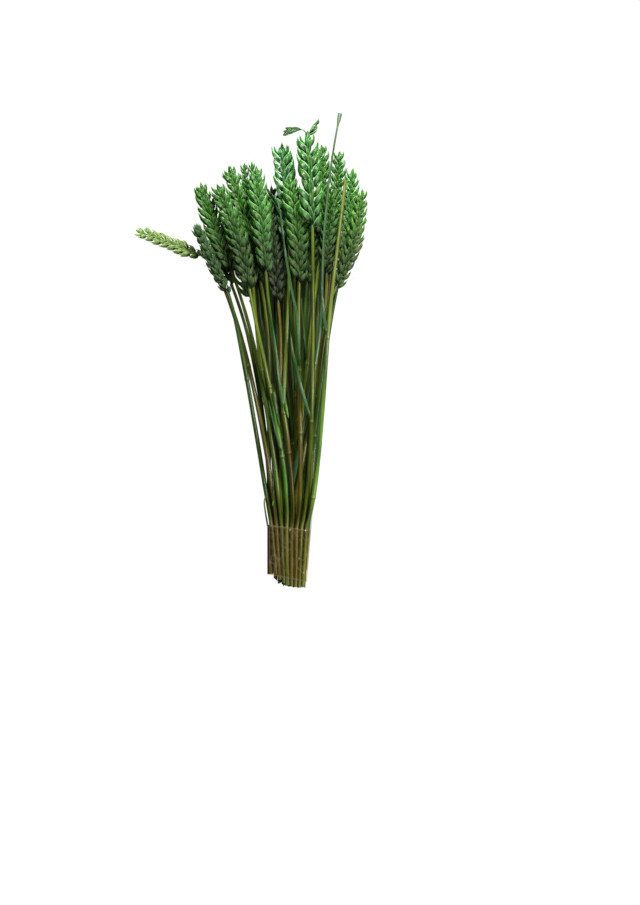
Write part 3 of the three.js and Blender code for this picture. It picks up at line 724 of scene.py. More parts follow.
def scale_forms(shape, root, along, back, length, half_width, half_depth, bow, tone):
    """The points and marks of scales, one for each root: along is the way that a scale grows, and back the way
    that its back looks."""
    section_x, section_z, share = shape.section()
    u = np.array(shape.stations)
    x = np.outer(shape.width, section_x) * half_width[:, None, None]
    z = np.outer(shape.depth, section_z) * half_depth[:, None, None]
    bent = bow[:, None] * (4 * u * (1 - u) - TIP_CURL * u ** 3)
    y = u * length[:, None]
    points = (
        root[:, None, None]
        + y[..., None, None] * along[:, None, None]
        + x[..., None] * np.cross(along, back)[:, None, None]
        + (z + bent[..., None])[..., None] * back[:, None, None]
    )
    return points, joined(u[None, :, None], share, tone[:, None, None])


def grow_scales(ear, scale, base, sizes, side, facing, tilt):
    """Grows one scale of every spikelet in a row. base gives their heights, side is 1 for the right of that
    face and -1 for its left, facing is 1 for the front and -1 for the back, and tilt opens each spikelet."""
    draw = ear.draw
    count = len(base)
    lean = np.radians(scale.lean + tilt + draw.normal(0, LEAN_SPREAD, count)) * side
    forward = np.radians(scale.forward + draw.normal(0, LEAN_SPREAD, count))
    turn = np.radians(scale.back_turn + draw.normal(0, TURN_SPREAD, count))
    length = scale.length * sizes * draw.normal(1, LENGTH_SPREAD, count)
    girth = ear.look.girth * sizes * draw.normal(1, GIRTH_SPREAD, count)
    along = unit(joined(np.sin(lean), np.cos(lean) * np.cos(forward), np.sin(forward)))
    back = square_to(along, joined(side * np.cos(turn), 0, np.sin(turn)))
    root = np.array([scale.root[0] * side, 0, scale.root[2]]) * sizes[:, None]
    root[:, 1] += base + scale.root[1] * sizes
    root += draw.normal(0, ROOT_SPREAD, root.shape)
    tone = draw.random(count)

    points, mark = scale_forms(
        scale.shape, root, along, back, length, scale.half_width * girth, scale.half_depth * girth,
        scale.bow * sizes, tone,
    )
    mirror = np.array([facing, 1, facing])
    ear.grow(points * mirror, scale.shape.faces(count), mark)
    tips = root + along * (length * AWN_FROM)[:, None] - back * (TIP_CURL * scale.bow * sizes)[:, None]
    longer = AWN_LEAST + AWN_MORE * draw.random(count) ** AWN_RARITY
    grow_awns(ear, tips * mirror, along * mirror, scale.awn * sizes * longer)


def grow_awns(ear, tips, along, reach):
    """Fine bristles that go on from the scales' tips."""
    count = len(tips)
    angle = ring_angles(AWN_SIDES)
    u = np.linspace(0, 1, AWN_STATIONS)
    side = unit(np.cross(along, ear.draw.normal(size=(count, 3))))
    other = np.cross(along, side)
    curl = ear.draw.normal(0, AWN_CURL, count)
    centre = (
        tips[:, None]
        + (u * reach[:, None])[..., None] * along[:, None]
        + (u ** 2 * (reach * curl)[:, None])[..., None] * side[:, None]
    )
    radius = AWN_RADIUS * (1 - AWN_TAPER * u)
    ring = np.cos(angle)[:, None] * side[:, None] + np.sin(angle)[:, None] * other[:, None]
    points = centre[:, :, None] + radius[None, :, None, None] * ring[:, None]
    ear.grow(points, lattice(AWN_STATIONS, AWN_SIDES, count), AWN_MARK)


def grow_rachis(ear, stalk, step):
    """The ear's own stem, which steps from side to side between the spikelets."""
    length = stalk.laid["top"].length
    y = np.linspace(-RACHIS_SINK, length - RACHIS_STOP, RACHIS_STATIONS)
    size = stalk.size * fullness(np.clip(y / length, 0, 1))
    angle = ring_angles(RACHIS_SIDES)
    neck = 1 - smoothstep(y, 0, RACHIS_NECK)
    turn = 2 * math.pi * y / step
    wide = lerp(RACHIS_HALF_WIDTH * size, STRAW_NECK_RADIUS, neck) * (1 + RACHIS_WAVE * np.cos(turn))
    thick = lerp(RACHIS_HALF_THICKNESS * size, STRAW_NECK_RADIUS, neck)
    shift = RACHIS_SHIFT * np.sin(turn) * (1 - neck)
    x = wide[:, None] * np.sin(angle) + shift[:, None]
    z = thick[:, None] * np.cos(angle)
    ear.grow(joined(x, y[:, None], z), lattice(RACHIS_STATIONS, RACHIS_SIDES), RACHIS_MARK)


def make_ear(stalk, number, material):
    look = EAR_LOOKS.get(stalk.name, EarLook())
    ear = Ear(Body(), ear_placer(stalk), look, np.random.default_rng(SEED + number))
    length = stalk.laid["top"].length
    covered = length - EAR_NECK_LENGTH - END_LENGTH * stalk.size
    steps = max(FEWEST_SPIKELETS, round(covered / (SPIKELET_PITCH * stalk.size ** PITCH_POWER)))
    step = covered / steps
    grow_rachis(ear, stalk, step)
    # The rows at the ear's two edges stand half a step apart, and each row shows on both faces
    opening = {edge: ear.draw.normal(0, OPENING_SPREAD, steps) for edge in (1, -1)}
    plumpness = {edge: ear.draw.normal(1, PLUMPNESS_SPREAD, steps) for edge in (1, -1)}
    for side, facing in ((1, 1), (-1, 1), (1, -1), (-1, -1)):
        edge = side * facing
        base = EAR_NECK_LENGTH + (np.arange(steps) + (0.5 if edge < 0 else 0)) * step
        sizes = stalk.size * fullness(base / length) ** FULLNESS_POWER * plumpness[edge]
        scales = [*SPIKELET, EDGE_FLORET] if facing > 0 else BACK_SPIKELET
        if facing > 0 and look.inner:
            scales.append(INNER_FLORET)
        for scale in scales:
            grow_scales(ear, scale, base, sizes, side, facing, opening[edge])
    grow_end(ear, stalk, covered)
    if stalk.broken:
        grow_broken_tip(ear, stalk)
    ear.body.make_piece(f"wheat_ear_{stalk.name}", material, "ear", f"ear_{stalk.name}")


def grow_end(ear, stalk, covered):
    """The spikelet at the very end stands across the others."""
    base = np.array([EAR_NECK_LENGTH + covered])
    sizes = np.array([stalk.size * END_SIZE])
    for side, facing in ((1, 1), (-1, -1)):
        for scale in END_SPIKELET:
            grow_scales(ear, scale, base, sizes, side, facing, 0)
    for side, facing in ((-1, 1), (1, -1)):
        grow_scales(ear, END_SPIKELET[0], base, sizes, side, facing, 0)


# The broken top of one ear: two thin twigs hang from it with their last scales, which stand in pairs, back to
# back. A path's points are to the right of, up from and above the ear's tip. A pair has its place on the
# path, the way it points, in degrees to the right of up, and its length
TWIG_RADIUS = 0.5
TWIG_TAPER = 0.4
TWIG_VALUE = 0.5
TWIG_RINGS = 24
TWIG_SIDES = 7
TWIG_MARK = (0.6, 0.3, 0.5)
TWIGS = [
    ([(0.5, -3.5, 0), (-2, 1.5, 0.5), (-8, 2.6, 1.2), (-14, 0.8, 1.2), (-19, -2, 0.5)],
     [(0.38, -84, 10), (0.46, -106, 10), (0.55, -112, 10), (0.6, -80, 9), (0.68, -96, 9), (0.8, -116, 7)]),
    ([(1.5, -3.5, 0), (3.5, 1, 0.5), (6, 3.5, 1), (8.6, 4, 1), (9.4, 7.5, 1.2)],
     [(0.08, 52, 10), (0.2, 28, 12), (0.3, 64, 7), (0.96, 20, 5)]),
]
TWIG_SCALE_HALF_WIDTH = 1.4
TWIG_SCALE_HALF_DEPTH = 0.95
TWIG_SCALE_BOW = 0.5
TWIG_SCALE_RISE = 0.1
TWIG_SCALE_OPENING = 0.16
TWIG_SCALE_TURNS = (0.6, math.pi + 0.3)
TWIG_SCALE_SPREAD = 0.3


def grow_broken_tip(ear, stalk):
    tip = stalk.laid["top"].point(1)
    ear = replace(ear, look=replace(ear.look, value=TWIG_VALUE))
    share = np.linspace(0, 1, TWIG_RINGS)
    radius = TWIG_RADIUS * (1 - TWIG_TAPER * share)[:, None]
    for path, scales in TWIGS:
        path = tip + np.array(path)
        centres = spline(path, share)
        right, up = across_line(tangents(centres))
        points = tube_points(centres, right, up, radius, ring_angles(TWIG_SIDES))
        ear.add(points, lattice(TWIG_RINGS, TWIG_SIDES), TWIG_MARK)
        places, ways, lengths = np.array(scales).T
        grow_twig_scales(ear, spline(path, places), np.radians(ways), lengths)


def grow_twig_scales(ear, root, ways, lengths):
    count = len(ways)
    along = unit(joined(np.sin(ways), np.cos(ways), TWIG_SCALE_RISE))
    level, over = across_line(along)
    half_width, half_depth, bow = (
        np.full(count, size) for size in (TWIG_SCALE_HALF_WIDTH, TWIG_SCALE_HALF_DEPTH, TWIG_SCALE_BOW)
    )
    for turn in TWIG_SCALE_TURNS:
        spread = turn + ear.draw.normal(0, TWIG_SCALE_SPREAD, count)[:, None]
        back = over * np.cos(spread) + level * np.sin(spread)
        opened = unit(along + TWIG_SCALE_OPENING * back)
        back = square_to(opened, back)
        tone = ear.draw.random(count)
        points, mark = scale_forms(LEMMA, root, opened, back, lengths, half_width, half_depth, bow, tone)
        ear.add(points, LEMMA.faces(count), mark)


# Straws
STRAW_STEP = 3
STRAW_SIDES = 14
JOINT_RINGS = 9
JOINT_RINGS_REACH = 3
JOINT_RINGS_ROOM = 3.4
JOINT_SWELL = 0.2
JOINT_REACH = 1.1
SHEATH_THICKNESS = 0.16
SHEATH_THINNEST = 0.4
SHEATH_LENGTH = 45
SHEATH_LENGTH_SPREAD = 40
RIBS = 5
RIB_HEIGHT = 0.025
FAR = 1e3

# The foot is hollow, and its cut is a little slanted
FOOT_SLANT = 0.35
HOLLOW_SHARE = 0.62
HOLLOW_DEPTH = 5
HOLLOW_NARROWING = 0.8

# The stub of a broken ear spreads flat
STUB_LENGTH = 12
STUB_FLAT_LENGTH = 4
STUB_SPREAD = 1.3

OLIVE = colour(90, 104, 26)
YELLOW_GREEN = colour(108, 128, 38)
BRIGHT_GREEN = colour(84, 140, 50)
BROWN = colour(92, 76, 24)
TEAL = colour(30, 80, 40)
DARK_GREEN = colour(44, 76, 18)
DULL_OLIVE = colour(102, 114, 48)
GREY_GREEN = colour(72, 112, 78)
TAN = colour(120, 92, 48)
FOOT_GREEN = colour(118, 122, 56)

# The other straws are olive
STRAW_COLOURS = {
    "02": DARK_GREEN, "04": DARK_GREEN, "05": BROWN, "07": DARK_GREEN, "08": DARK_GREEN, "09": TEAL,
    "13": DARK_GREEN, "14": TEAL, "15": BROWN, "17": BROWN, "19": DARK_GREEN, "20": YELLOW_GREEN,
    "bare_thin": GREY_GREEN, "bare_thick": DULL_OLIVE,
}
STRAW_VALUES = (0.75, 1.25)

# Some straws have another colour below their topmost joint
LOWER_COLOURS = {
    "07": BRIGHT_GREEN, "13": BRIGHT_GREEN, "20": BRIGHT_GREEN, "21": BROWN, "22": BROWN,
    "bare_thick": BRIGHT_GREEN,
}
LOWER_FADE = 25

# The straws fade to another tint towards their feet, tan at the bunch's left and green at its right
FOOT_FADE = (WAIST_Y - 10, WAIST_Y + 45)
FOOT_SPREAD = 0.4
FOOT_STRENGTH = 0.5
FOOT_STRENGTH_SPREAD = 0.4
# The deep ring inside a cut foot's hollow is darker: painted shade
HOLLOW_PAINTED_SHADE = 0.5

# A joint's dark line and pale ring: the colour, its strength, where it is past the joint, and its reach
# The dark line is painted shade below the joint's swelling, and the pale ring is the joint's own colour with
# painted light
JOINT_COLOUR = colour(150, 164, 66)
JOINT_BANDS = [(colour(40, 36, 14), 0.7, -0.7, 0.6), (JOINT_COLOUR, 0.55, 0.6, 0.7)]

# The sheath's stripes, and the shares of the way round where each of them rises and fades
LAP_COLOURS = [BROWN, DARK_GREEN, colour(40, 60, 14), colour(66, 108, 36), OLIVE, colour(70, 58, 20)]
OWN_LAP_COLOURS = {"bare_thick": DULL_OLIVE, "12": BROWN, "15": BROWN, "bare_thin": GREY_GREEN}
STRIPES = [(0.1, 0.2, 0.42, 0.52), (0.6, 0.68, 0.76, 0.84)]
STRIPE_STRENGTH = 0.7


def straw_rings(stalk):
    """Where a straw's rings are on its line, their middles and their radii, a bare straw's top included."""
    straw = stalk.laid["straw"]
    held = np.linalg.norm(stalk.laid["waist"] - stalk.laid["foot"])
    t = np.concatenate([
        np.linspace(-1, 0, round(held / STRAW_STEP), endpoint=False),
        np.linspace(0, 1, round(straw.length / STRAW_STEP)),
    ])
    for joint in stalk.joints:
        fine = joint + np.linspace(-JOINT_RINGS_REACH, JOINT_RINGS_REACH, JOINT_RINGS) / straw.length
        t = np.sort(np.concatenate([t[np.abs(t - joint) * straw.length > JOINT_RINGS_ROOM], fine]))
    centres = straw_point(stalk, t)
    radius = straw_radius(stalk, t)
    if not stalk.has_ear:
        top = stalk.laid["top"]
        v = np.linspace(0, 1, round(top.length / STRAW_STEP))[1:]
        centres = np.concatenate([centres, top.point(v)])
        radius = np.concatenate([radius, np.interp(v, np.linspace(0, 1, EAR_SAMPLES + 1), top.wide)])
        t = np.concatenate([t, 1 + v * top.length / straw.length])
    return t, centres, radius


def straw_joints(stalk, t, draw):
    """How far each ring is past the nearest joint, how much it is swollen, and whether a sheath covers it."""
    away = np.full(len(t), FAR)
    swell, sheath = np.zeros((2, len(t)))
    for joint in stalk.joints:
        past = (t - joint) * stalk.laid["straw"].length
        swell = np.maximum(swell, JOINT_SWELL * hump(past, 0, JOINT_REACH))
        reach = SHEATH_LENGTH + SHEATH_LENGTH_SPREAD * draw.random()
        sheath = np.maximum(sheath, band(past, 0, 2, reach, reach + 1))
        away = np.where(np.abs(past) < np.abs(away), past, away)
    return away, swell, sheath


def straw_tint(stalk, t, centres, away, lap, draw):
    """A straw's dye, stripes and joint bands; the hollow's two rings come first, the deep one in painted
    shade.
    """
    upper = STRAW_COLOURS.get(stalk.name, OLIVE)
    lower = LOWER_COLOURS.get(stalk.name, upper)
    below = (max(stalk.joints) - t) * stalk.laid["straw"].length
    tint = lerp(upper, lower, smoothstep(below, 0, LOWER_FADE)[:, None]) * draw.uniform(*STRAW_VALUES)
    place = stalk.slot / (ROW_STRAWS[stalk.row] - 1) + draw.uniform(-FOOT_SPREAD, FOOT_SPREAD)
    strength = FOOT_STRENGTH + FOOT_STRENGTH_SPREAD * draw.random()
    foot = strength * (1 - smoothstep(centres[:, 1], *FOOT_FADE))
    tint = lerp(tint, lerp(TAN, FOOT_GREEN, np.clip(place, 0, 1)), foot[:, None])
    for shade, strength, middle, reach in JOINT_BANDS:
        tint = lerp(tint, shade, strength * hump(away, middle, reach)[:, None])
    tint = np.concatenate([[TAN * HOLLOW_PAINTED_SHADE, TAN], tint])[:, None]
    stripe = OWN_LAP_COLOURS.get(stalk.name, LAP_COLOURS[draw.integers(len(LAP_COLOURS))])
    on_stripe = np.max([band(lap, *stretch) for stretch in STRIPES], axis=0)
    return lerp(tint, stripe, (STRIPE_STRENGTH * on_stripe)[:, None])


def hollow_foot(rim, middle, right, along, slant):
    """Slants the rim of a straw's foot, and gives the two rings of the hollow inside it."""
    rim += ((rim - middle) @ right * slant)[:, None] * along
    inner = lerp(middle, rim, HOLLOW_SHARE)
    deep = inner + HOLLOW_DEPTH * along
    return [lerp(deep.mean(axis=0), deep, HOLLOW_NARROWING), inner]


def make_straw(stalk, number, material, pile):
    draw = np.random.default_rng(SEED * 2 + number)
    t, centres, radius = straw_rings(stalk)
    gone = way_gone(centres)
    away, swell, sheath = straw_joints(stalk, t, draw)
    angle = ring_angles(STRAW_SIDES)
    seam = draw.random() * 2 * math.pi
    lap = np.mod(angle - seam, 2 * math.pi) / (2 * math.pi)
    reach = (radius * (1 + swell))[:, None] * (1 + RIB_HEIGHT * np.cos(RIBS * angle + seam))
    reach += (sheath * SHEATH_THICKNESS)[:, None] * (SHEATH_THINNEST + lap)
    along = tangents(centres)
    right, up = across_line(along)
    points = tube_points(centres, right, up, reach, angle)
    if stalk.thin:
        flat = STUB_SPREAD * smoothstep(gone, gone[-1] - STUB_LENGTH, gone[-1] - STUB_FLAT_LENGTH)
        sideways = (points - points.mean(axis=1, keepdims=True)) @ right[-1]
        points += (flat[:, None] * sideways)[..., None] * right[-1]
    hollow = hollow_foot(points[0], centres[0], right[0], along[0], draw.normal(0, FOOT_SLANT))
    points = np.concatenate([hollow, points])
    tint = straw_tint(stalk, t, centres, away, lap, draw)
    mark = joined(np.concatenate([[0, 0], gone])[:, None] / MARK_LENGTH, angle / math.pi - 1, draw.random())
    body = Body()
    body.add(points, lattice(len(points), STRAW_SIDES), mark, tint)
    if "leaf" in stalk.laid:
        tint = TEAL if stalk.row == TOP_ROW else DARK_GREEN
        add_leaf(body, stalk.laid["leaf"], LEAF_SHARE * stalk.leaf[0], tint, draw)
    for strip in STRIPS.get(stalk.name, ()):
        line = lay_leaf(np.array(strip.root, float), strip.path, strip.half_width, pile)
        add_leaf(body, line, strip.half_width, strip.tint, draw)
    body.make_piece(f"wheat_straw_{stalk.name}", material, "straw", f"straw_{stalk.name}")


# Leaves
@dataclass
class Strip:
    """A strip of dry sheath, peeled from its straw and lying on the others."""

    root: tuple
    path: tuple
    half_width: float
    tint: object


STRIPS = {
    "19": [Strip((15, -159, 9), ((12, -138), (13.8, -131)), 0.8, OLIVE)],
    "20": [
        Strip((20.8, -98, 16), ((20.6, -120), (20.4, -133)), 0.4, DARK_GREEN),
        Strip((20.8, -132.5, 16), ((20.4, -136), (19.4, -140.5)), 1.1, BRIGHT_GREEN),
        Strip((19.5, -30, 22), ((23, -48), (26.2, -68)), 2.4, DARK_GREEN),
    ],
    "21": [
        Strip((30.5, -42, 22), ((32.5, -52), (34.3, -60.5)), 1.5, BRIGHT_GREEN),
        Strip((24.6, -99, 16), ((28, -90), (29.6, -82)), 0.4, TEAL),
    ],
    "22": [
        Strip((44.2, -64, 16), ((42.5, -62), (41.2, -60.5)), 0.4, YELLOW_GREEN),
        Strip((45.4, -64, 16), ((46.6, -61), (47.4, -56)), 0.5, YELLOW_GREEN),
    ],
}
LEAF_SHARE = 0.75
LEAF_RINGS = 48
LEAF_WALL = 0.14
LEAF_COLUMNS = np.linspace(-1, 1, 7)
LEAF_NARROWING = 0.85
LEAF_LIFT = 0.5

# How the blade is folded at its root and further on, and how it twists and waves
LEAF_FOLDS = (0.9, 0.25)
LEAF_UNFOLDED = 16
LEAF_FOLD_POWER = 1.6
LEAF_TWIST = 0.35
LEAF_TWIST_PITCH = 17
LEAF_TWIST_FROM = (4, 20)
LEAF_WAVE = 0.18
LEAF_WAVE_PITCH = 5.1
LEAF_PHASES = 6
LEAF_VALUE_SPREAD = 0.05
LEAF_ROOT_STRENGTH = 0.4
LEAF_ROOT_LENGTH = 5


def add_leaf(body, line, half_width, tint, draw):
    """A dry blade: folded along its middle, waved along its edges, and narrowed to its end."""
    share = np.linspace(0, 1, LEAF_RINGS)
    gone = share * line.length
    centres = line.point(share)
    right, up = across_line(tangents(centres))
    width = half_width * (1 - LEAF_NARROWING * share ** 2)
    phase = draw.random(3) * LEAF_PHASES
    twist = LEAF_TWIST * np.sin(gone / LEAF_TWIST_PITCH + phase[0]) * smoothstep(gone, *LEAF_TWIST_FROM)
    side, over = turned(right, up, -twist)
    fold = lerp(*LEAF_FOLDS, smoothstep(gone, 0, LEAF_UNFOLDED))
    wave = LEAF_WAVE * np.sin(gone / LEAF_WAVE_PITCH + phase[1])[:, None] * LEAF_COLUMNS
    height = LEAF_LIFT + wave - (fold * width)[:, None] * np.abs(LEAF_COLUMNS) ** LEAF_FOLD_POWER
    across = width[:, None] * LEAF_COLUMNS
    sheet = centres[:, None] + across[..., None] * side[:, None] + height[..., None] * over[:, None]
    wall = LEAF_WALL * over[:, None]
    points = np.concatenate([sheet + wall, (sheet - wall)[:, ::-1]], axis=1)
    columns = np.concatenate([LEAF_COLUMNS, LEAF_COLUMNS[::-1]])
    mark = joined(gone[:, None] / MARK_LENGTH, columns, draw.random())
    root = LEAF_ROOT_STRENGTH * (1 - smoothstep(gone, 0, LEAF_ROOT_LENGTH))
    tint = lerp(tint * draw.normal(1, LEAF_VALUE_SPREAD), JOINT_COLOUR, root[:, None])
    body.add(points, lattice(LEAF_RINGS, len(columns)), mark, tint[:, None])


# The tape wrap. Its edges aren't quite level: each height is that at the left, and that at the right
TAPE_HALF_WIDTH_TOP = 20
TAPE_HALF_WIDTH_FOOT = 18.2
TAPE_HEIGHT = 13.6
TAPE_CORNER_RADIUS = 3.5
TAPE_TOP_EDGE_Y = (-158, -163)
TAPE_FOOT_EDGE_Y = (-203, -210)
TAPE_WALL = 0.25
TAPE_RINGS = 44
TAPE_SIDE_POINTS = 36
TAPE_COLOUR = colour(180, 160, 120)

# The film sinks between the straws where it faces up
SINK_FACING = (0.3, 0.9)
SINK_DEPTH = 0.35
SINK_LEAST = 0.15

# Its creases are waves: their heights, and how fast each runs across and along the tape
CREASES = [(0.12, 0.9, 0.35), (0.1, 0.35, -0.8)]


def tape_outline(half_width, inset):
    """The points of a rectangle with round corners that stands on the floor, spread evenly from the middle of
    its right side on, and the directions out of it."""
    radius = TAPE_CORNER_RADIUS
    tall = TAPE_HEIGHT - 2 * radius
    flat = 2 * (half_width - radius)
    bend = math.pi / 2 * radius
    ends = np.cumsum([tall, bend, flat, bend] * 2)
    gone = (tall / 2 + np.linspace(0, ends[-1], 4 * TAPE_SIDE_POINTS, endpoint=False)) % ends[-1]
    run = np.searchsorted(ends, gone, side="right")
    ahead = ends[run] - gone
    corner, bent = np.divmod(run, 2)
    angle = math.pi / 2 * (corner + bent * (1 - ahead / bend))
    out_x, out_z = np.cos(angle), np.sin(angle)
    straight = np.where(bent, 0, ahead)
    corner_x = np.array([1, -1, -1, 1])[corner] * flat / 2
    corner_z = TAPE_HEIGHT / 2 + np.array([1, 1, -1, -1])[corner] * tall / 2
    x = corner_x + (radius - inset) * out_x + straight * out_z
    z = corner_z + (radius - inset) * out_z - straight * out_x
    return x, z, out_x, out_z


def tape_sink(x, y):
    """How far the film sinks between the straws of the top row, with its creases."""
    pitch = 2 * ROW_HALF_WIDTH_TOP[TOP_ROW] / (ROW_STRAWS[TOP_ROW] - 1)
    between = 0.5 - 0.5 * np.cos(2 * math.pi * (x + pitch / 2) / pitch + math.pi)
    creases = sum(height * np.sin(across * x + along * y) for height, across, along in CREASES)
    return np.maximum(0, SINK_DEPTH * between + SINK_LEAST + creases)


def tape_ring(share, inset):
    """One turn of the film's outside or inside, at a share of its width."""
    half_width = lerp(TAPE_HALF_WIDTH_FOOT, TAPE_HALF_WIDTH_TOP, share)
    x, z, out_x, out_z = tape_outline(half_width, inset)
    across = (x / half_width + 1) / 2
    y = lerp(lerp(*TAPE_FOOT_EDGE_Y, across), lerp(*TAPE_TOP_EDGE_Y, across), share)
    sunk = tape_sink(x, y) * smoothstep(out_z, *SINK_FACING)
    return joined(lerp(TAPE_FOOT_X, TAPE_TOP_X, share) + x - sunk * out_x, y, z - sunk * out_z)


def make_tape(material):
    share = np.linspace(0, 1, TAPE_RINGS)
    outside = [tape_ring(s, 0) for s in share]
    inside = [tape_ring(s, TAPE_WALL) for s in share[::-1]]
    points = np.array(outside + inside)
    corner = np.arange(points[..., 0].size).reshape(points.shape[:2])
    follow = np.roll(corner, -1, axis=0)
    faces = np.stack([corner, follow, np.roll(follow, -1, axis=1), np.roll(corner, -1, axis=1)], axis=-1)
    mark = joined(np.concatenate([share, share[::-1]])[:, None], 0, 0)
    body = Body()
    body.add(points, [faces.reshape(-1, 4)], mark, TAPE_COLOUR)
    body.make_piece("clear_tape", material, "tape", "tape_wrap")


# Materials
class Nodes:
    """Shorthand for a material's nodes."""

    def __init__(self, name):
        self.material = bpy.data.materials.new(name)
        self.material.use_nodes = True
        self.tree = self.material.node_tree
        self.tree.nodes.clear()
        self.output = self.tree.nodes.new("ShaderNodeOutputMaterial")
        self.place = self.add("ShaderNodeTexCoord").outputs["Object"]

    def add(self, kind, inputs=(), **settings):
        node = self.tree.nodes.new(kind)
        for key, value in settings.items():
            setattr(node, key, value)
        for key, value in dict(inputs).items():
            self.set(node.inputs[key], value)
        return node

    def set(self, socket, value):
        if isinstance(value, bpy.types.NodeSocket):
            self.tree.links.new(value, socket)
        elif isinstance(value, np.ndarray):
            socket.default_value = (*value, 1)
        else:
            socket.default_value = value

    def math(self, operation, *values):
        return self.add("ShaderNodeMath", enumerate(values), operation=operation).outputs[0]

    def range(self, value, low, high, to_low=0.0, to_high=1.0):
        node = self.add("ShaderNodeMapRange", {0: value, 1: low, 2: high, 3: to_low, 4: to_high})
        return node.outputs[0]

    def mix(self, factor, a, b, blend="MIX"):
        node = self.add("ShaderNodeMix", data_type="RGBA", blend_type=blend)
        self.set(node.inputs[0], factor)
        self.set(node.inputs[6], a)
        self.set(node.inputs[7], b)
        return node.outputs[2]

    def lit(self, tint, light):
        return self.mix(1.0, tint, self.join(light, light, light), "MULTIPLY")

    def mark(self):
        return self.split(self.add("ShaderNodeAttribute", attribute_name="mark").outputs["Vector"])

    def tint(self):
        return self.add("ShaderNodeAttribute", attribute_name="tint").outputs["Color"]

    def split(self, vector):
        node = self.add("ShaderNodeSeparateXYZ", {0: vector})
        return node.outputs[0], node.outputs[1], node.outputs[2]

    def join(self, x, y, z):
        return self.add("ShaderNodeCombineXYZ", {0: x, 1: y, 2: z}).outputs[0]

    def stretched(self, parts, factors):
        return self.join(*(self.math("MULTIPLY", part, factor) for part, factor in zip(parts, factors)))

    def noise(self, vector, scale, detail):
        node = self.add("ShaderNodeTexNoise", {"Vector": vector, "Scale": scale, "Detail": detail})
        return node.outputs["Fac"]

    def bump(self, strength, distance, height):
        inputs = {"Strength": strength, "Distance": distance, "Height": height}
        return self.add("ShaderNodeBump", inputs).outputs[0]

    def off_half(self, value):
        return self.math("ABSOLUTE", self.math("SUBTRACT", value, 0.5))

    def surface(self, inputs):
        return self.add("ShaderNodeBsdfPrincipled", inputs).outputs[0]

    def finish(self, shader):
        self.set(self.output.inputs[0], shader)
        return self.material


# How much lighter the scales' margins are than their dye, low in the bunch and high in it: partly their own
# pale colour and partly painted highlight, far stronger high in the bunch
LOW_MARGIN_PALE_AND_HIGHLIGHT = np.array([2.1, 1.8, 2.3])
TOP_MARGIN_PALE_AND_HIGHLIGHT = np.array([10, 5.2, 13.5])
STREAK_COLOUR = colour(150, 160, 84)
MAROON = colour(80, 22, 30)
HAZE = colour(180, 166, 138)
CLEAR = colour(248, 243, 231)


def ear_material():
    n = Nodes("dyed_ear")
    along, across, tone = n.mark()
    tint = n.tint()
    height = n.split(n.place)[1]
    # Each scale has its own lightness, and some are aged to straw colour
    shown = n.lit(tint, n.range(tone, 0, 1, 0.72, 1.25))
    shown = n.mix(n.range(tone, 0.86, 1, 0, 0.55), shown, AGED)
    # Painted shade at each scale's base, where the scale below covers it, and painted light towards its tip
    shown = n.lit(shown, n.range(along, 0.14, 0.74, 0.13, 1.25))
    # Pale along the margins and the keel: partly the scales' own colour, partly painted highlight, strongest
    # high in the bunch
    edge = n.math("ABSOLUTE", across)
    margin_pale_and_highlight = n.mix(n.range(height, 0.075, 0.15), LOW_MARGIN_PALE_AND_HIGHLIGHT, TOP_MARGIN_PALE_AND_HIGHLIGHT)
    pale = n.mix(1.0, tint, margin_pale_and_highlight, "MULTIPLY")
    shown = n.mix(n.range(edge, 0.6, 0.8, 0, 0.9), shown, pale)
    shown = n.mix(n.range(edge, 0, 0.12, 0.3, 0), shown, pale)
    # The veins run from base to tip
    veins = n.noise(n.stretched((along, across, tone), (1.5, 9, 7)), 2.2, 2)
    shown = n.lit(shown, n.range(veins, 0.3, 0.7, 0.66, 1.28))
    mottle = n.noise(n.place, 420, 3)
    shown = n.mix(n.range(mottle, 0.55, 0.8, 0, 0.2), shown, AGED)
    relief = n.math("ADD", veins, n.math("MULTIPLY", mottle, 0.3))
    # The ears at the bunch's top are the glossiest
    gloss = n.math("ADD", n.range(mottle, 0.3, 0.7, -0.06, 0.08), n.range(height, 0.1, 0.16, 0.56, 0.26))
    return n.finish(n.surface({
        "Base Color": shown, "Roughness": gloss, "Normal": n.bump(0.5, 0.0004, relief),
        "Specular IOR Level": 0.55,
    }))


def straw_material():
    n = Nodes("dyed_straw")
    mark = n.mark()
    streaks = n.noise(n.stretched(mark, (1.3, 2.4, 11)), 2, 3)
    fine = n.noise(n.stretched(mark, (2, 7, 11)), 2.4, 2)
    shown = n.lit(n.tint(), n.range(streaks, 0.34, 0.66, 0.42, 1.5))
    shown = n.mix(n.range(fine, 0.56, 0.72, 0, 0.34), shown, STREAK_COLOUR)
    shown = n.mix(n.range(n.noise(n.place, 60, 2), 0.5, 0.75, 0, 0.35), shown, BROWN)
    return n.finish(n.surface({
        "Base Color": shown, "Roughness": n.range(streaks, 0.3, 0.7, 0.28, 0.4),
        "Normal": n.bump(0.35, 0.0003, fine), "Specular IOR Level": 0.5,
    }))


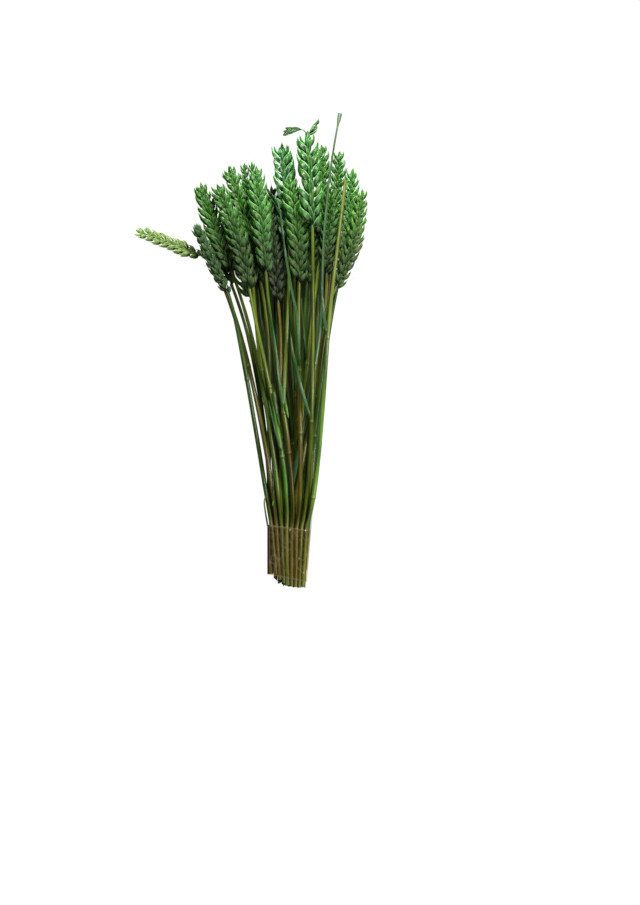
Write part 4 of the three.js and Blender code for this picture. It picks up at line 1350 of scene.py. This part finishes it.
def tape_material():
    n = Nodes("clear_tape")
    place = x, y, z = n.split(n.place)
    crinkle = n.noise(n.stretched(place, (1, 0.45, 1)), 330, 4)
    relief = n.math("ADD", crinkle, n.noise(n.place, 90, 2))
    left_edge = n.range(x, 0.0162, 0.0172, 1, 0)
    film = n.surface({
        "Base Color": n.mix(left_edge, HAZE, MAROON), "Roughness": 0.12, "Specular IOR Level": 1,
        "Normal": n.bump(0.25, 0.0006, relief), "Coat Weight": 0.6, "Coat Roughness": 0.05,
    })
    clear = n.add("ShaderNodeBsdfTransparent", {"Color": CLEAR}).outputs[0]
    # The film shows where it is crinkled or creased, at its rims and at its left edge
    rim = n.range(n.off_half(n.mark()[0]), 0.475, 0.495, 0, 0.22)
    crease = n.range(n.off_half(n.noise(n.stretched(place, (1.6, 1, 1)), 55, 1)), 0, 0.016, 0.16, 0)
    cover = n.math("ADD", n.range(crinkle, 0.45, 0.75, 0.01, 0.07), n.math("MULTIPLY", left_edge, 0.7))
    cover = n.math("ADD", cover, n.math("MAXIMUM", rim, crease))
    return n.finish(n.add("ShaderNodeMixShader", {0: cover, 1: clear, 2: film}).outputs[0])


# The floor, with a painted shade on it under the straws and under the lowest ears, in metres
FLOOR_SIZE = 12
FLOOR_DROP = 0.0002
FLOOR_GLOW = 1
FLOOR_ROUGHNESS = 0.9
# The painted shade's colour, a dark green as if lit by light thrown off the dyed straws
PAINTED_SHADE_COLOUR = colour(44, 54, 26)
SHADE_TOP_Y = 0.09
SHADE_FOOT_Y = -0.2
SHADE_BEND_Y = -0.071
SHADE_LEFT_X = 0.0175
SHADE_TOP_LEFT_X = -0.008
SHADE_FOOT_RIGHT_X = 0.052
SHADE_TOP_RIGHT_X = 0.078
SHADE_SOFTNESS = 0.0025
EAR_SHADE_X = 0.0264
EAR_SHADE_Y = 0.1015
EAR_SHADE_HALF_WIDTH = 0.06
EAR_SHADE_HALF_LENGTH = 0.0455
EAR_SHADE_FADE = (0.8, 1)

# Each light's name, place and aim in millimetres, size in metres, power in watts, and tint
LIGHTS = [
    ("key", (110, 390, 420), (10, 110, 25), 0.12, 3.1, (1, 0.98, 0.94)),
    ("fill", (330, -110, 430), (35, -90, 10), 0.1, 1.8, (1, 0.99, 0.96)),
    ("back", (-330, 250, 330), (0, 60, 25), 0.3, 0.4, (0.97, 1, 0.98)),
]
WORLD_LIGHT = 0.13
WORLD_TINT = (0.65, 1, 0.38, 1)


def floor_material():
    """The floor glows white, but has a painted shade under the bunch, where the glow is masked off and its
    dark base colour shows.
    """
    n = Nodes("floor")
    x, y, _ = n.split(n.place)
    left = n.range(y, SHADE_BEND_Y, SHADE_TOP_Y, SHADE_LEFT_X, SHADE_TOP_LEFT_X)
    right = n.range(y, SHADE_FOOT_Y, SHADE_TOP_Y, SHADE_FOOT_RIGHT_X, SHADE_TOP_RIGHT_X)
    inside = n.math("SUBTRACT", x, left)
    for far, near in ((right, x), (SHADE_TOP_Y, y), (y, SHADE_FOOT_Y)):
        inside = n.math("MINIMUM", inside, n.math("SUBTRACT", far, near))
    painted_shade_under_straws = n.range(inside, 0, SHADE_SOFTNESS)
    aside = n.math("DIVIDE", n.math("SUBTRACT", x, EAR_SHADE_X), EAR_SHADE_HALF_WIDTH)
    ahead = n.math("DIVIDE", n.math("SUBTRACT", y, EAR_SHADE_Y), EAR_SHADE_HALF_LENGTH)
    away = n.math("ADD", n.math("MULTIPLY", aside, aside), n.math("MULTIPLY", ahead, ahead))
    # Painted shade: the glow fades out under the straws and under the lowest ears
    shade = n.math("MAXIMUM", painted_shade_under_straws, n.range(away, *EAR_SHADE_FADE, 1, 0))
    return n.finish(n.surface({
        "Base Color": PAINTED_SHADE_COLOUR, "Roughness": FLOOR_ROUGHNESS, "Emission Color": colour(255, 255, 255),
        "Emission Strength": n.range(shade, 0, 1, FLOOR_GLOW, 0),
    }))


def make_floor():
    half = FLOOR_SIZE / 2
    corners = [(-half, -half, 0), (half, -half, 0), (half, half, 0), (-half, half, 0)]
    mesh = bpy.data.meshes.new("floor")
    mesh.from_pydata(corners, [], [(0, 1, 2, 3)])
    mesh.materials.append(floor_material())
    floor = add_object("floor", mesh)
    floor.location.z = -FLOOR_DROP
    floor.visible_diffuse = False
    floor.visible_glossy = False


def make_lights():
    for name, place, aim, size, power, tint in LIGHTS:
        data = bpy.data.lights.new(name, "AREA")
        data.size = size
        data.energy = power
        data.color = tint
        light = add_object(name, data)
        light.location = Vector(place) * MM
        direction = Vector(aim) * MM - light.location
        light.rotation_euler = direction.to_track_quat("-Z", "Y").to_euler()
    world = bpy.data.worlds.new("world")
    world.use_nodes = True
    background = world.node_tree.nodes["Background"]
    background.inputs[0].default_value = WORLD_TINT
    background.inputs[1].default_value = WORLD_LIGHT
    bpy.context.scene.world = world
    bpy.context.scene.view_settings.view_transform = "Standard"


make_camera()
pile = lay_bunch()
ear_finish = ear_material()
straw_finish = straw_material()
for number, stalk in enumerate(STALKS):
    if stalk.has_ear:
        make_ear(stalk, number, ear_finish)
    make_straw(stalk, number, straw_finish, pile)
make_tape(tape_material())
make_floor()
make_lights()
